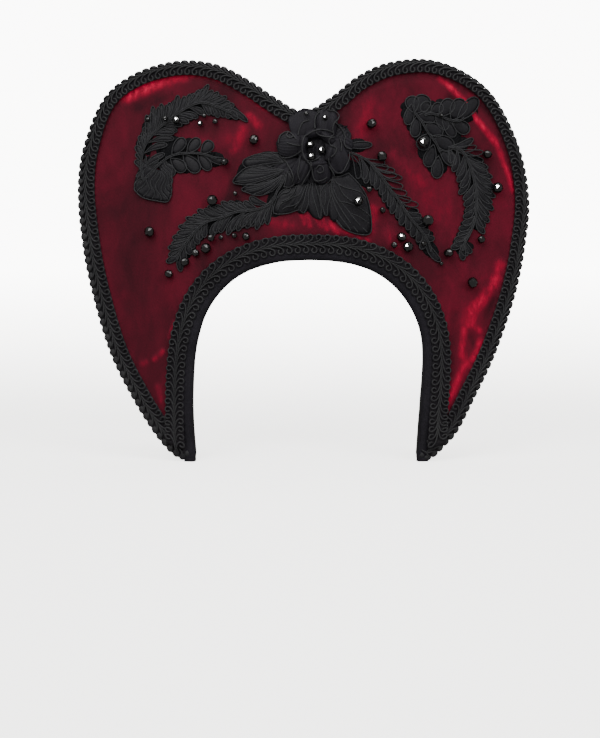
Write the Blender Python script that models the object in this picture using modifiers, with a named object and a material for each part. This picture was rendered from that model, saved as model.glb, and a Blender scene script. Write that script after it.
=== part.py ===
"""Gothic heart-shaped crown: a stiff velvet panel on a padded head band, trimmed with scroll gimp
braid, corded leaf sprays, a satin rose and faceted beads.

Everything is first modelled flat, in the pattern plane of the panel, and then bent: the wings are
swept back and the whole panel leans back. In the pattern plane X runs to the viewer's right, Z up,
and -Y is the height above the panel's middle surface. Lengths below are millimetres.
"""

from math import atan2, cos, pi, radians, sin, sqrt, tan

import bmesh
import bpy
from mathutils import Matrix, Vector
from mathutils.bvhtree import BVHTree

MM = 0.001
GAP = 0.3

# How the flat pattern is bent into the worn shape
SWEEP_RADIUS = 600.0
LEAN = radians(5.0)
ORIGIN_DEPTH = 26.89
SLICE = 20.0
SLICE_SNAP = 1e-4

# Panel: velvet over a stiff board
PANEL_THICKNESS = 4.0
PANEL_FRONT = PANEL_THICKNESS / 2
PANEL_EDGE_ROUND = 1.5
PANEL_FOOT_SLOPE = 5.5
EDGE_INSET = 2.3
SKIN = PANEL_FRONT + GAP

# Silhouette of the heart, braid included, from the ear point up over the lobe to the notch
# station, left x, left z, right x, right z
HEART = (
    ("low", -94.0, 8.5, 94.5, 8.5),
    ("jaw", -102.5, 19.0, 104.0, 19.0),
    ("flank_low", -116.0, 40.0, 115.0, 40.0),
    ("flank", -132.0, 71.0, 130.0, 71.0),
    ("flank_high", -144.5, 111.0, 144.0, 111.0),
    ("side", -151.5, 145.0, 151.0, 145.0),
    ("widest", -154.0, 180.0, 153.5, 176.0),
    ("shoulder", -149.5, 210.0, 147.0, 210.0),
    ("crown_out", -135.5, 243.0, 130.0, 243.0),
    ("crown_top", -113.0, 260.0, 109.5, 260.0),
    ("apex", -83.5, 267.5, 84.0, 268.5),
    ("crown_in", -57.0, 264.5, 56.5, 266.0),
    ("slope", -35.0, 253.5, 35.5, 256.5),
    ("slope_low", -18.5, 242.5, 19.0, 243.5),
)
NOTCH = (0.0, 233.5)
HEART_STEPS = 3

# Arch that the head goes into: a super-ellipse over straight sides
ARCH_HALF_WIDTH = 77.3
ARCH_SPRING = 57.0
ARCH_TOP = 133.7
ARCH_EXPONENT = 2.47
ARCH_CENTRE = 1.9
ARCH_END_HALF_WIDTH = 74.6
# The arch leans to the right by this much between these two heights
ARCH_SHIFT = 2.6
ARCH_SHIFT_LOW = 20.0
ARCH_SHIFT_HIGH = 90.0
ARCH_SIDE_STEPS = 5
ARCH_ROUND_STEPS = 30

# Head band: padded black velvet
BAND_THICKNESS = 5.0
BAND_FRONT = 3.0
BAND_BACK = -38.0
BAND_CORNER = 1.0
# The band widens to the back as a head does: share of x, and rise, for each millimetre behind the panel
BAND_FLARE = 0.0027
BAND_RISE = 0.0875

# Scroll gimp braids
BRAID_THICKNESS = 2.2
BRAID_SHOULDER = 1.1
BRAID_GROOVE = 0.4
OUTER_BRAID_WIDTH = 13.5
INNER_BRAID_WIDTH = 12.5
INNER_BRAID_START = BAND_THICKNESS + 2 * GAP
INNER_BRAID_LOWEST = 1.2
WRAP_STEPS = 3
# How far the outer braid reaches onto the front: from, to (fractions of the way round), reach
BRAID_REACH = (
    ("left_ear", 0.00, 12.6),
    ("left_widest", 0.20, 12.6),
    ("left_crown", 0.33, 8.2),
    ("notch", 0.50, 8.6),
    ("right_crown", 0.67, 7.2),
    ("right_widest", 0.80, 9.2),
    ("right_ear", 1.00, 10.5),
)
BRAID_SHORTEST_REACH = 2.4
BRAID_MEETING_GAP = 0.9

# Raised work: heights above the velvet
FROND_HEIGHT = 1.5
LEAF_HEIGHT = 1.8
CUSHION_HEIGHT = 3.4
LEAF_EDGE_ROUND = 0.5
STEM_HALF_WIDTH = 0.9
LEAF_WIDEST = 0.62
LEAF_TIP_SHARE = 0.35
LEAF_FOOT_BEHIND = 0.4
LEAF_FOOT_AHEAD = 0.9
LEAF_OUTLINE_STEPS = 7
# Side of the stem, and how far into its pair's stretch of stem a leaf grows
LEAF_SIDES = ((1, 0.3), (-1, 0.75))
LEAVES_END = 0.97
CUSHION_SIDES = 6
CUSHION_RINGS = 5
CUSHION_HEEL = 0.8
CUSHION_SINK = 0.37

# Fronds: node, stem points, pairs of leaves, leaf length at foot and at tip, leaf width, splay in degrees
FRONDS = (
    ("spray_left_top",
     ((-109, 194), (-107, 206), (-100, 217), (-88, 225), (-78, 233), (-67, 238), (-56, 235), (-47, 229)),
     9, 12.5, 8.5, 4.6, 42),
    ("spray_left_middle",
     ((-99, 195), (-93, 199), (-84, 202), (-68, 202.5), (-58, 200)),
     3, 9.5, 8.5, 5.6, 52),
    ("spray_left_lower",
     ((-21, 171), (-30, 166.5), (-45, 164), (-59, 160), (-70, 155), (-78, 146), (-84, 136)),
     8, 10.5, 8, 4.4, 50),
    ("spray_right_lower",
     ((34, 203), (45, 197), (55, 184), (65, 171), (73, 158), (81, 147)),
     7, 9, 8, 4.2, 42),
    ("spray_right_top",
     ((71, 237), (76, 228), (82, 218.5), (89, 211), (95, 205)),
     3, 9, 9, 5.6, 55),
    ("spray_right_branch",
     ((88, 231), (96, 226.5), (103, 227), (109, 230)),
     2, 8, 8, 5.0, 50),
    ("spray_right_side",
     ((103, 207), (109, 201), (114, 188), (116.5, 177), (116, 165), (112.5, 154), (108, 144)),
     8, 10, 8, 4.4, 42),
)
# Broad leaves: node, foot x, z, tip x, z, width
LEAVES = (
    ("leaf_left_large", -14.0, 193.0, -46.0, 184.0, 24.0),
    ("leaf_left_small", -3.0, 181.5, -15.0, 166.0, 12.0),
    ("leaf_left_fan", -106.0, 188.5, -98.5, 173.5, 17.0),
    ("leaf_right_large", 24.0, 188.5, 34.0, 150.5, 24.0),
    ("leaf_strap", 8.5, 182.5, 9.5, 160.5, 13.0),
)
# Satin cushions of the rose: centre x, z, length, width, angle, height of its middle above the velvet
ROSE_CUSHIONS = (
    (8.0, 207.0, 29.0, 27.0, 0, 0.0),
    (23.0, 203.0, 26.0, 15.0, 96, 0.4),
    (15.5, 223.0, 19.0, 15.0, 75, 1.6),
    (-1.0, 221.5, 22.0, 17.0, 115, 1.4),
    (-7.5, 209.5, 19.0, 18.0, 165, 0.6),
    (-3.0, 194.0, 19.0, 15.0, 55, 0.2),
    (12.5, 192.0, 16.0, 15.0, 90, 0.5),
    (-2.0, 206.5, 16.0, 8.0, 80, 3.0),
    (11.5, 217.0, 16.0, 8.0, 170, 3.1),
    (19.0, 207.0, 16.0, 8.0, 100, 2.9),
    (8.5, 196.5, 16.0, 8.0, 5, 2.8),
)

# Faceted beads: name, x, z, diameter
BEADS = (
    ("bead_left_a", -32.7, 214.0, 6.4),
    ("bead_left_b", -60.3, 174.0, 6.6),
    ("bead_left_c", -102.5, 153.0, 6.4),
    ("bead_left_d", -52.0, 199.0, 5.0),
    ("bead_left_e", -84.0, 227.0, 5.0),
    ("bead_left_f", -78.6, 133.0, 5.4),
    ("bead_left_g", -89.5, 125.0, 5.4),
    ("bead_left_h", -64.5, 142.0, 6.6),
    ("bead_left_i", -71.6, 139.0, 4.6),
    ("bead_left_j", -38.0, 150.0, 5.0),
    ("bead_right_a", 44.9, 224.5, 6.6),
    ("bead_right_b", 51.9, 203.0, 6.4),
    ("bead_right_c", 78.6, 212.0, 6.6),
    ("bead_right_d", 123.0, 205.0, 5.6),
    ("bead_right_e", 129.8, 182.5, 6.6),
    ("bead_right_f", 82.5, 160.5, 7.0),
    ("bead_right_g", 64.8, 149.5, 6.0),
    ("bead_right_h", 36.0, 173.0, 6.4),
    ("bead_right_i", 119.0, 148.0, 4.6),
    ("bead_right_j", 69.3, 143.0, 6.4),
    ("bead_right_k", 96.5, 139.0, 6.0),
    ("bead_right_l", 112.8, 119.0, 6.6),
    ("bead_centre_a", 4.6, 210.2, 7.0),
    ("bead_centre_b", 12.0, 206.6, 7.0),
    ("bead_centre_c", 5.2, 202.6, 7.0),
    ("bead_centre_d", 14.0, 228.0, 4.6),
)
BEAD_SIDES = 10
BEAD_RINGS = 5
BEAD_FLATTEN = 0.86

# Finishes: sRGB colour, roughness, metallic
FINISHES = {
    "crimson_velvet": ((0.40, 0.04, 0.09), 0.75, 0.0),
    "black_velvet": ((0.05, 0.05, 0.06), 0.85, 0.0),
    "black_gimp": ((0.09, 0.09, 0.085), 0.55, 0.0),
    "black_satin": ((0.08, 0.08, 0.09), 0.45, 0.0),
    "jet_glass": ((0.03, 0.03, 0.03), 0.08, 0.0),
}


def clear_scene():
    """Removes whatever the file opened with."""
    for obj in list(bpy.data.objects):
        bpy.data.objects.remove(obj)


def collection(name):
    made = bpy.data.collections.new(name)
    bpy.context.scene.collection.children.link(made)
    return made


def finish(obj, name):
    """Gives the object a material of its own in the named finish."""
    colour, roughness, metallic = FINISHES[name]
    material = bpy.data.materials.new(f"{obj.name}_{name}")
    material.use_nodes = True
    shader = material.node_tree.nodes["Principled BSDF"]
    shader.inputs["Base Color"].default_value = (*[c**2.2 for c in colour], 1.0)
    shader.inputs["Roughness"].default_value = roughness
    shader.inputs["Metallic"].default_value = metallic
    material.diffuse_color = (*colour, 1.0)
    obj.data.materials.clear()
    obj.data.materials.append(material)


# Flat curves in the pattern plane


def smooth_path(points, steps):
    """Catmull-Rom curve through 2D points, with the given steps a span."""
    ends = [2 * Vector(points[0]) - Vector(points[1])], [2 * Vector(points[-1]) - Vector(points[-2])]
    knots = ends[0] + [Vector(p) for p in points] + ends[1]
    path = []
    for a, b, c, d in zip(knots, knots[1:], knots[2:], knots[3:]):
        for step in range(steps):
            t = step / steps
            square = (2 * a - 5 * b + 4 * c - d) * t**2
            cube = (3 * b - a - 3 * c + d) * t**3
            path.append(0.5 * (2 * b + (c - a) * t + square + cube))
    path.append(knots[-2])
    return path


def side_normals(path):
    """Unit normals to the right of the direction of travel."""
    normals = []
    for i in range(len(path)):
        along = path[min(i + 1, len(path) - 1)] - path[max(i - 1, 0)]
        normals.append(Vector((along.y, -along.x)).normalized())
    return normals


def offset_path(path, distance):
    """The path moved to the right of its direction of travel."""
    return [p + distance * n for p, n in zip(path, side_normals(path))]


def distance_to_path(point, path):
    """Shortest distance from a point to the straight runs of a path."""
    nearest = []
    for a, b in zip(path, path[1:]):
        run = b - a
        share = max(0.0, min(1.0, (point - a).dot(run) / run.length_squared))
        nearest.append((point - a - share * run).length)
    return min(nearest)


def heart_silhouette():
    """Outer edge of the braid from the left ear point over both lobes to the right ear point."""
    left = [(x, z) for _, x, z, _, _ in HEART]
    right = [(x, z) for _, _, _, x, z in reversed(HEART)]
    return smooth_path([*left, NOTCH, *right], HEART_STEPS)


def arch_centre(z):
    """Middle of the arch at pattern height z."""
    share = max(0.0, min(1.0, (z - ARCH_SHIFT_LOW) / (ARCH_SHIFT_HIGH - ARCH_SHIFT_LOW)))
    return ARCH_CENTRE + ARCH_SHIFT * share * share * (3 - 2 * share)


def arch():
    """Inner face of the head band, from the left end over the top to the right end."""
    rise = ARCH_TOP - ARCH_SPRING
    side = []
    for step in range(ARCH_SIDE_STEPS):
        t = step / ARCH_SIDE_STEPS
        half = ARCH_END_HALF_WIDTH + (ARCH_HALF_WIDTH - ARCH_END_HALF_WIDTH) * sin(t * pi / 2)
        side.append((half, ARCH_SPRING * t))
    left = [Vector((arch_centre(z) - half, z)) for half, z in side]
    right = [Vector((arch_centre(z) + half, z)) for half, z in reversed(side)]
    crown = []
    for step in range(ARCH_ROUND_STEPS + 1):
        angle = pi * (1 - step / ARCH_ROUND_STEPS)
        across = abs(cos(angle)) ** (2 / ARCH_EXPONENT)
        up = sin(angle) ** (2 / ARCH_EXPONENT) if 0 < step < ARCH_ROUND_STEPS else 0.0
        sign = 1 if cos(angle) > 0 else -1
        z = ARCH_SPRING + rise * up
        crown.append(Vector((arch_centre(z) + sign * ARCH_HALF_WIDTH * across, z)))
    return left + crown + right


# Bending the pattern


def surface_normal(x):
    """Front-facing unit normal of the bent panel at pattern x."""
    return Vector((x / SWEEP_RADIUS, -1.0, tan(LEAN))).normalized()


def place(x, z, height):
    """World position, in metres, of a pattern point at a height above the panel's middle surface."""
    on_panel = Vector((x, x * x / (2 * SWEEP_RADIUS) + z * tan(LEAN) - ORIGIN_DEPTH, z))
    return (on_panel + height * surface_normal(x)) * MM


def floor_line(x, height):
    """Pattern z at which a point of that height comes down to the surface that the crown stands on."""
    return -height * surface_normal(x).z


def bend(obj):
    """Slices a flat piece across the sweep, so that its faces can follow it, and bends it into place."""
    bm = bmesh.new()
    bm.from_mesh(obj.data)
    low = min(v.co.x for v in bm.verts)
    high = max(v.co.x for v in bm.verts)
    for step in range(int(low // SLICE) + 1, int(high // SLICE) + 1):
        geometry = bm.verts[:] + bm.edges[:] + bm.faces[:]
        at = (step * SLICE, 0, 0)
        bmesh.ops.bisect_plane(bm, geom=geometry, plane_co=at, plane_no=(1, 0, 0), dist=SLICE_SNAP)
    for vert in bm.verts:
        x, y, z = vert.co
        vert.co = place(x, z, -y)
    bm.to_mesh(obj.data)
    bm.free()


# Building pieces in the pattern plane


def link(name, mesh, home):
    obj = bpy.data.objects.new(name, mesh)
    home.objects.link(obj)
    return obj


def mesh_from(bm, name):
    """A mesh whose faces point outwards, from a closed bmesh that it then frees."""
    bmesh.ops.recalc_face_normals(bm, faces=bm.faces)
    if bm.calc_volume(signed=True) < 0:
        bmesh.ops.reverse_faces(bm, faces=bm.faces)
    mesh = bpy.data.meshes.new(name)
    bm.to_mesh(mesh)
    bm.free()
    return mesh


def loft(bm, rings):
    """Skins a row of closed rings, whose sections differ, and caps both ends."""
    rows = [[bm.verts.new(point) for point in ring] for ring in rings]
    count = len(rows[0])
    for first, second in zip(rows, rows[1:]):
        for i in range(count):
            j = (i + 1) % count
            bm.faces.new((first[i], first[j], second[j], second[i]))
    bm.faces.new(rows[0])
    bm.faces.new(list(reversed(rows[-1])))


def evaluated_mesh(obj):
    """The object's mesh with its modifiers applied."""
    graph = bpy.context.evaluated_depsgraph_get()
    graph.update()
    return bpy.data.meshes.new_from_object(obj.evaluated_get(graph))


def apply_modifiers(obj):
    mesh = evaluated_mesh(obj)
    obj.modifiers.clear()
    obj.data = mesh


def make_panel(home, silhouette, arch_line):
    """Velvet-covered heart with the arch cut out, down to where its braids hide it."""
    outer = offset_path(silhouette, EDGE_INSET)
    inner = offset_path(arch_line, -(BAND_THICKNESS + GAP))
    lowest = max(outer[0].y, outer[-1].y) - PANEL_FOOT_SLOPE
    inner = [p for p in inner if p.y > lowest]
    points = outer + list(reversed(inner))
    return extrude_outline(home, "velvet_panel", points, -PANEL_FRONT, PANEL_FRONT, PANEL_EDGE_ROUND)


def flared(at, height):
    """Where a place on the band's section comes to at a height, which is negative behind the panel."""
    behind = max(0.0, -PANEL_FRONT - height)
    return Vector((at.x * (1 + BAND_FLARE * behind), at.y + BAND_RISE * behind))


def make_band(home, arch_line):
    """Padded head band along the arch, deep enough to stand on, its ends cut level."""
    normals = side_normals(arch_line)
    c = BAND_CORNER
    section = (
        (c, BAND_FRONT), (BAND_THICKNESS - c, BAND_FRONT), (BAND_THICKNESS, BAND_FRONT - c),
        (BAND_THICKNESS, -PANEL_FRONT), (BAND_THICKNESS, BAND_BACK + c), (BAND_THICKNESS - c, BAND_BACK),
        (c, BAND_BACK), (0, BAND_BACK + c), (0, -PANEL_FRONT), (0, BAND_FRONT - c),
    )
    rings = []
    for i, (point, normal) in enumerate(zip(arch_line, normals)):
        ring = []
        for out, height in section:
            at = flared(point - out * normal, height)
            z = floor_line(at.x, height) if i in (0, len(arch_line) - 1) else at.y
            ring.append((at.x, -height, z))
        rings.append(ring)
    bm = bmesh.new()
    loft(bm, rings)
    return link("head_band", mesh_from(bm, "head_band"), home)


def make_inner_braid(home, arch_line):
    """Braid laid flat on the panel round the arch, with a low groove between its two rows of loops."""
    top = SKIN + BRAID_THICKNESS
    width = INNER_BRAID_WIDTH
    section = (
        (0, SKIN), (width, SKIN), (width, SKIN + BRAID_SHOULDER), (width * 0.8, top),
        (width * 0.5, top - BRAID_GROOVE), (width * 0.2, top), (0, SKIN + BRAID_SHOULDER),
    )
    rings = []
    for i, (point, normal) in enumerate(zip(arch_line, side_normals(arch_line))):
        end = i in (0, len(arch_line) - 1)
        ring = []
        for across, height in section:
            at = point - (INNER_BRAID_START + across) * normal
            ring.append((at.x, -height, INNER_BRAID_LOWEST if end else at.y))
        rings.append(ring)
    bm = bmesh.new()
    loft(bm, rings)
    return link("inner_braid", mesh_from(bm, "inner_braid"), home)


def braid_reach(share):
    """How far the outer braid lies on the front, at a share of the way round from the left ear."""
    for (_, start, first), (_, stop, last) in zip(BRAID_REACH, BRAID_REACH[1:]):
        if share <= stop:
            t = (share - start) / (stop - start)
            return first + (last - first) * (3 * t**2 - 2 * t**3)
    return BRAID_REACH[-1][2]


def outer_braid_section(reach, grown):
    """Closed section of the outer braid: (inset from the panel's edge, height), which wraps the edge.

    The braid is flat from its reach in to the edge's rounding, then turns round the edge for the
    rest of its width. Grown makes it larger on every side, for cutting its neighbours.
    """
    low = SKIN - grown
    high = SKIN + BRAID_THICKNESS + grown
    turn = min((OUTER_BRAID_WIDTH - reach + PANEL_FRONT) / (SKIN + BRAID_THICKNESS / 2), radians(150))
    angles = [turn * step / WRAP_STEPS for step in range(1, WRAP_STEPS + 1)]
    clear = low / cos(turn / WRAP_STEPS / 2)
    inside = [(PANEL_FRONT - clear * sin(a), clear * cos(a)) for a in angles]
    outside = [(PANEL_FRONT - high * sin(a), high * cos(a)) for a in reversed(angles)]
    flat = [(reach + grown, low), (PANEL_FRONT, low)]
    middle = ((reach + PANEL_FRONT) / 2, high - BRAID_GROOVE)
    rim = [(reach - BRAID_SHOULDER / 2, high), (reach + grown, high - BRAID_SHOULDER)]
    return flat + inside + outside + [(PANEL_FRONT, high), middle, *rim]


def outer_braid_rings(silhouette, arch_line, grown=0.0):
    """Rings of the outer braid, narrowed where the inner braid meets it near the ear points."""
    edge = offset_path(silhouette, EDGE_INSET)
    limit = offset_path(arch_line, -(INNER_BRAID_START + INNER_BRAID_WIDTH))
    rings = []
    for i, (point, normal) in enumerate(zip(edge, side_normals(edge))):
        room = distance_to_path(point, limit) - BRAID_MEETING_GAP
        reach = min(braid_reach(i / (len(edge) - 1)), room)
        if reach < BRAID_SHORTEST_REACH or point.y < INNER_BRAID_LOWEST:
            continue
        ring = []
        for inset, height in outer_braid_section(reach, grown):
            at = point + inset * normal
            ring.append((at.x, -height, at.y))
        rings.append(ring)
    return rings


def make_outer_braid(home, silhouette, arch_line, name="outer_braid", grown=0.0):
    bm = bmesh.new()
    loft(bm, outer_braid_rings(silhouette, arch_line, grown))
    return link(name, mesh_from(bm, name), home)


def extrude_outline(home, name, points, low, high, edge_round=0.0):
    """A flat outline given its thickness between two heights, with its edges eased where asked."""
    curve = bpy.data.curves.new(name, "CURVE")
    curve.dimensions = "2D"
    curve.fill_mode = "BOTH"
    curve.extrude = (high - low) / 2
    spline = curve.splines.new("POLY")
    spline.points.add(len(points) - 1)
    for point, (x, z) in zip(spline.points, points):
        point.co = (x, z, 0, 1)
    spline.use_cyclic_u = True
    flat = link(f"{name}_outline", curve, home)
    mesh = evaluated_mesh(flat)
    bpy.data.objects.remove(flat)
    bm = bmesh.new()
    bm.from_mesh(mesh)
    bmesh.ops.remove_doubles(bm, verts=bm.verts, dist=0.01)
    bmesh.ops.dissolve_limit(bm, angle_limit=radians(1), verts=bm.verts, edges=bm.edges)
    bmesh.ops.rotate(bm, verts=bm.verts, matrix=Matrix.Rotation(pi / 2, 3, "X"))
    bmesh.ops.translate(bm, verts=bm.verts, vec=(0, -(high + low) / 2, 0))
    plate = link(name, mesh_from(bm, name), home)
    if edge_round:
        bevel = plate.modifiers.new("eased edge", "BEVEL")
        bevel.width = edge_round
        bevel.segments = 1
        bevel.limit_method = "ANGLE"
        bevel.angle_limit = radians(60)
        apply_modifiers(plate)
    return plate


def point_on(path, share):
    """Point and direction angle at a share of a path's length."""
    lengths = [(b - a).length for a, b in zip(path, path[1:])]
    left = share * sum(lengths)
    for a, b, length in zip(path, path[1:], lengths):
        if left <= length:
            along = b - a
            return a + along * (left / length), atan2(along.y, along.x)
        left -= length
    along = path[-1] - path[-2]
    return path[-1], atan2(along.y, along.x)


def unit(angle):
    return Vector((cos(angle), sin(angle)))


def leaflet(at, heading, side, length, width, splay):
    """Outline of one leaf of a frond, from its foot nearest the stem's start round its tip."""
    along = unit(heading)
    out = unit(heading + side * radians(splay))
    rear = unit(heading + side * (radians(splay) + pi / 2))
    root = at + side * STEM_HALF_WIDTH * unit(heading + pi / 2)
    widest = root + LEAF_WIDEST * length * out
    half = width / 2
    return [
        root - LEAF_FOOT_BEHIND * half * along,
        widest + half * rear,
        root + length * out + LEAF_TIP_SHARE * half * rear,
        root + length * out - LEAF_TIP_SHARE * half * rear,
        widest - half * rear,
        root + LEAF_FOOT_AHEAD * half * along,
    ]


def frond_outline(stem, pairs, foot_length, tip_length, width, splay):
    """Closed outline of a frond: up one side of the stem, round the tip leaf and down the other."""
    path = smooth_path(stem, 3)
    sides = {}
    for side, shift in LEAF_SIDES:
        sides[side] = []
        for pair in range(pairs):
            share = LEAVES_END * (pair + shift) / pairs
            at, heading = point_on(path, share)
            length = foot_length + (tip_length - foot_length) * share
            sides[side].append(leaflet(at, heading, side, length, width, splay))
    at, heading = point_on(path, 1.0)
    out = unit(heading)
    across = unit(heading + pi / 2)
    half = width / 2
    tip = [
        at + LEAF_WIDEST * tip_length * out + half * across,
        at + tip_length * out + LEAF_TIP_SHARE * half * across,
        at + tip_length * out - LEAF_TIP_SHARE * half * across,
        at + LEAF_WIDEST * tip_length * out - half * across,
    ]
    start, heading = point_on(path, 0.0)
    foot = STEM_HALF_WIDTH * unit(heading + pi / 2)
    up = [point for leaf in sides[1] for point in leaf]
    down = [point for leaf in reversed(sides[-1]) for point in reversed(leaf)]
    return [start + foot, *up, *tip, *down, start - foot]


def leaf_outline(foot_x, foot_z, tip_x, tip_z, width):
    """Closed outline of a broad leaf, widest a little past its middle."""
    foot = Vector((foot_x, foot_z))
    spine = Vector((tip_x, tip_z)) - foot
    across = Vector((-spine.y, spine.x)).normalized()
    edge = []
    for step in range(1, LEAF_OUTLINE_STEPS):
        t = step / LEAF_OUTLINE_STEPS
        edge.append((t, width / 2 * sin(pi * t**1.15) ** 0.8))
    there = [foot + t * spine + half * across for t, half in edge]
    back = [foot + t * spine - half * across for t, half in reversed(edge)]
    return [foot, *there, foot + spine, *back]


def make_cushion(home, name, x, z, length, width, angle, middle):
    """A closed cushion of satin, a little narrower at its heel."""
    bm = bmesh.new()
    bmesh.ops.create_uvsphere(bm, u_segments=CUSHION_SIDES, v_segments=CUSHION_RINGS, radius=1.0)
    turn = Matrix.Rotation(pi / 2, 3, "Y") @ Matrix.Rotation(pi / CUSHION_SIDES, 3, "Z")
    bmesh.ops.rotate(bm, verts=bm.verts, matrix=turn)
    direction = Vector((cos(angle), 0, sin(angle)))
    across = Vector((-sin(angle), 0, cos(angle)))
    for vert in bm.verts:
        along, up, side = vert.co
        share = CUSHION_HEEL + (1 - CUSHION_HEEL) * (along + 1) / 2
        vert.co = Vector((x, CUSHION_SINK - middle - up * CUSHION_HEIGHT, z))
        vert.co += direction * along * length / 2 + across * side * share * width / 2
    return link(name, mesh_from(bm, name), home)


def mark_cutter(obj):
    obj.hide_render = True
    obj.display_type = "WIRE"
    return obj


def make_slab(home):
    """Cutter that stands for the panel and its clearance, under the rose."""
    bm = bmesh.new()
    bmesh.ops.create_cube(bm, size=1.0)
    bmesh.ops.scale(bm, verts=bm.verts, vec=(90, 20, 90))
    bmesh.ops.translate(bm, verts=bm.verts, vec=(8, 10 - SKIN, 207))
    return mark_cutter(link("panel_clearance", mesh_from(bm, "panel_clearance"), home))


def boolean(obj, operation, other):
    """Adds an exact Boolean with an object, or with all the objects of a collection."""
    modifier = obj.modifiers.new(f"{operation.lower()} {other.name}", "BOOLEAN")
    modifier.operation = operation
    if isinstance(other, bpy.types.Collection):
        modifier.operand_type = "COLLECTION"
        modifier.collection = other
    else:
        modifier.object = other


def make_rose(home, cutters, trims):
    """The satin rose: its cushions joined, cut flat underneath and cleared of the braid."""
    group = bpy.data.collections.new("rose_cushions")
    cutters.children.link(group)
    core, *petals = ROSE_CUSHIONS
    x, z, length, width, angle, middle = core
    rose = make_cushion(home, "rose", x, z, length, width, radians(angle), SKIN + middle)
    for index, (x, z, length, width, angle, middle) in enumerate(petals):
        name = f"rose_cushion_{index}"
        mark_cutter(make_cushion(group, name, x, z, length, width, radians(angle), SKIN + middle))
    boolean(rose, "UNION", group)
    for trim in trims:
        boolean(rose, "DIFFERENCE", trim)
    apply_modifiers(rose)
    return rose


def seat(x, z, radius, trees):
    """Height of a bead's centre when it rests on the velvet or on the raised work under it."""
    height = SKIN + radius * BEAD_FLATTEN
    rings = ((0, 1), (0.4, 6), (0.7, 8), (0.95, 10))
    for share, count in rings:
        for spot in range(count):
            turn = 2 * pi * spot / count
            out = radius * share
            start = Vector((x + out * cos(turn), -60.0, z + out * sin(turn)))
            for tree in trees:
                hit = tree.ray_cast(start, Vector((0, 1, 0)))[0]
                if hit is not None:
                    lower = radius * BEAD_FLATTEN * sqrt(1 - share**2)
                    height = max(height, -hit.y + GAP + lower)
    return height


def make_bead(home, name, x, z, diameter, trees):
    """Faceted round bead, a little flatter than a ball, seated on what carries it."""
    radius = diameter / 2
    bm = bmesh.new()
    bmesh.ops.create_uvsphere(bm, u_segments=BEAD_SIDES, v_segments=BEAD_RINGS, radius=radius)
    bmesh.ops.scale(bm, verts=bm.verts, vec=(1, 1, BEAD_FLATTEN))
    bmesh.ops.rotate(bm, verts=bm.verts, matrix=Matrix.Rotation(pi / 2, 3, "X"))
    bmesh.ops.translate(bm, verts=bm.verts, vec=(x, -seat(x, z, radius, trees), z))
    return link(name, mesh_from(bm, name), home)


def tree_of(obj):
    bm = bmesh.new()
    bm.from_mesh(obj.data)
    tree = BVHTree.FromBMesh(bm)
    bm.free()
    return tree


def main():
    clear_scene()
    crown = collection("gothic_crown")
    cutters = collection("cutters")
    silhouette = heart_silhouette()
    arch_line = arch()

    finishes = {}
    panel = make_panel(crown, silhouette, arch_line)
    finishes[panel] = "crimson_velvet"
    finishes[make_band(crown, arch_line)] = "black_velvet"
    outer_braid = make_outer_braid(crown, silhouette, arch_line)
    finishes[outer_braid] = "black_gimp"
    finishes[make_inner_braid(crown, arch_line)] = "black_gimp"

    raised = []
    for name, *row in FRONDS:
        outline = frond_outline(*row)
        raised.append(extrude_outline(crown, name, outline, SKIN, SKIN + FROND_HEIGHT))
    for name, *row in LEAVES:
        outline = leaf_outline(*row)
        raised.append(extrude_outline(crown, name, outline, SKIN, SKIN + LEAF_HEIGHT, LEAF_EDGE_ROUND))

    slab = make_slab(cutters)
    braid_cutter = mark_cutter(make_outer_braid(cutters, silhouette, arch_line, "braid_clearance", GAP))
    raised.append(make_rose(crown, cutters, (braid_cutter, slab)))
    for obj in raised:
        finishes[obj] = "black_satin"

    trees = [tree_of(obj) for obj in (outer_braid, *raised)]
    for name, x, z, diameter in BEADS:
        bead = make_bead(crown, name, x, z, diameter, trees)
        trees.append(tree_of(bead))
        finishes[bead] = "jet_glass"

    for obj, finish_name in finishes.items():
        bend(obj)
        obj.data.shade_smooth()
        obj.data.set_sharp_from_angle(angle=radians(35))
        finish(obj, finish_name)


if __name__ == "__main__":
    main()
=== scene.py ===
"""Looks of the gothic crown: crushed velvet, scroll gimp braid, corded lace sprays, satin rose and beads.

Pieces are drawn on the flat pattern of the panel, in millimetres, and then laid on its bent surface.
In the pattern, x runs to the viewer's right and z up; a height is measured out of the panel's front.
"""

import logging
from collections.abc import Callable, Sequence
from dataclasses import dataclass, field
from enum import Enum
from math import atan2, cos, pi, radians, sin, sqrt, tan

import bmesh
import bpy
from mathutils import Matrix, Vector, noise
from mathutils.kdtree import KDTree


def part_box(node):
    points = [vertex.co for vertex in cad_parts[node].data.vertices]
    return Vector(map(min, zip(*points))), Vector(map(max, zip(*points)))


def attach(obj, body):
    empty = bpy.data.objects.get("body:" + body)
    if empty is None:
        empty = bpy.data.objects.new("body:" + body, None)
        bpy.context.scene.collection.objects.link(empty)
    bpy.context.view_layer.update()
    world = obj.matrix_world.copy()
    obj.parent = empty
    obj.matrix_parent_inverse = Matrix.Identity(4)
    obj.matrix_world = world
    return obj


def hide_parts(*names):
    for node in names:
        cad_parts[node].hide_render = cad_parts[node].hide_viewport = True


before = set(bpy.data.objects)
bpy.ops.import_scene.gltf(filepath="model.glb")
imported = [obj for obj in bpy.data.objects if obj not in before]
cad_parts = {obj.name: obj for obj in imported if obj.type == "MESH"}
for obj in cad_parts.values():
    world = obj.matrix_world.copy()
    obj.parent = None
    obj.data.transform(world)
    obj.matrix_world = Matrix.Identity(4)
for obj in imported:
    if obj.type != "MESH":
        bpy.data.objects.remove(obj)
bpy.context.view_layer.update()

log = logging.getLogger("gothic_crown")
MM = 0.001
# Distance in metres at which two points are one, and slack of shares that should be equal
TINY = 1e-6

Place = tuple[float, float]
Spot = tuple[float, float, float]


# Small tools for nodes, colours and meshes


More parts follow.
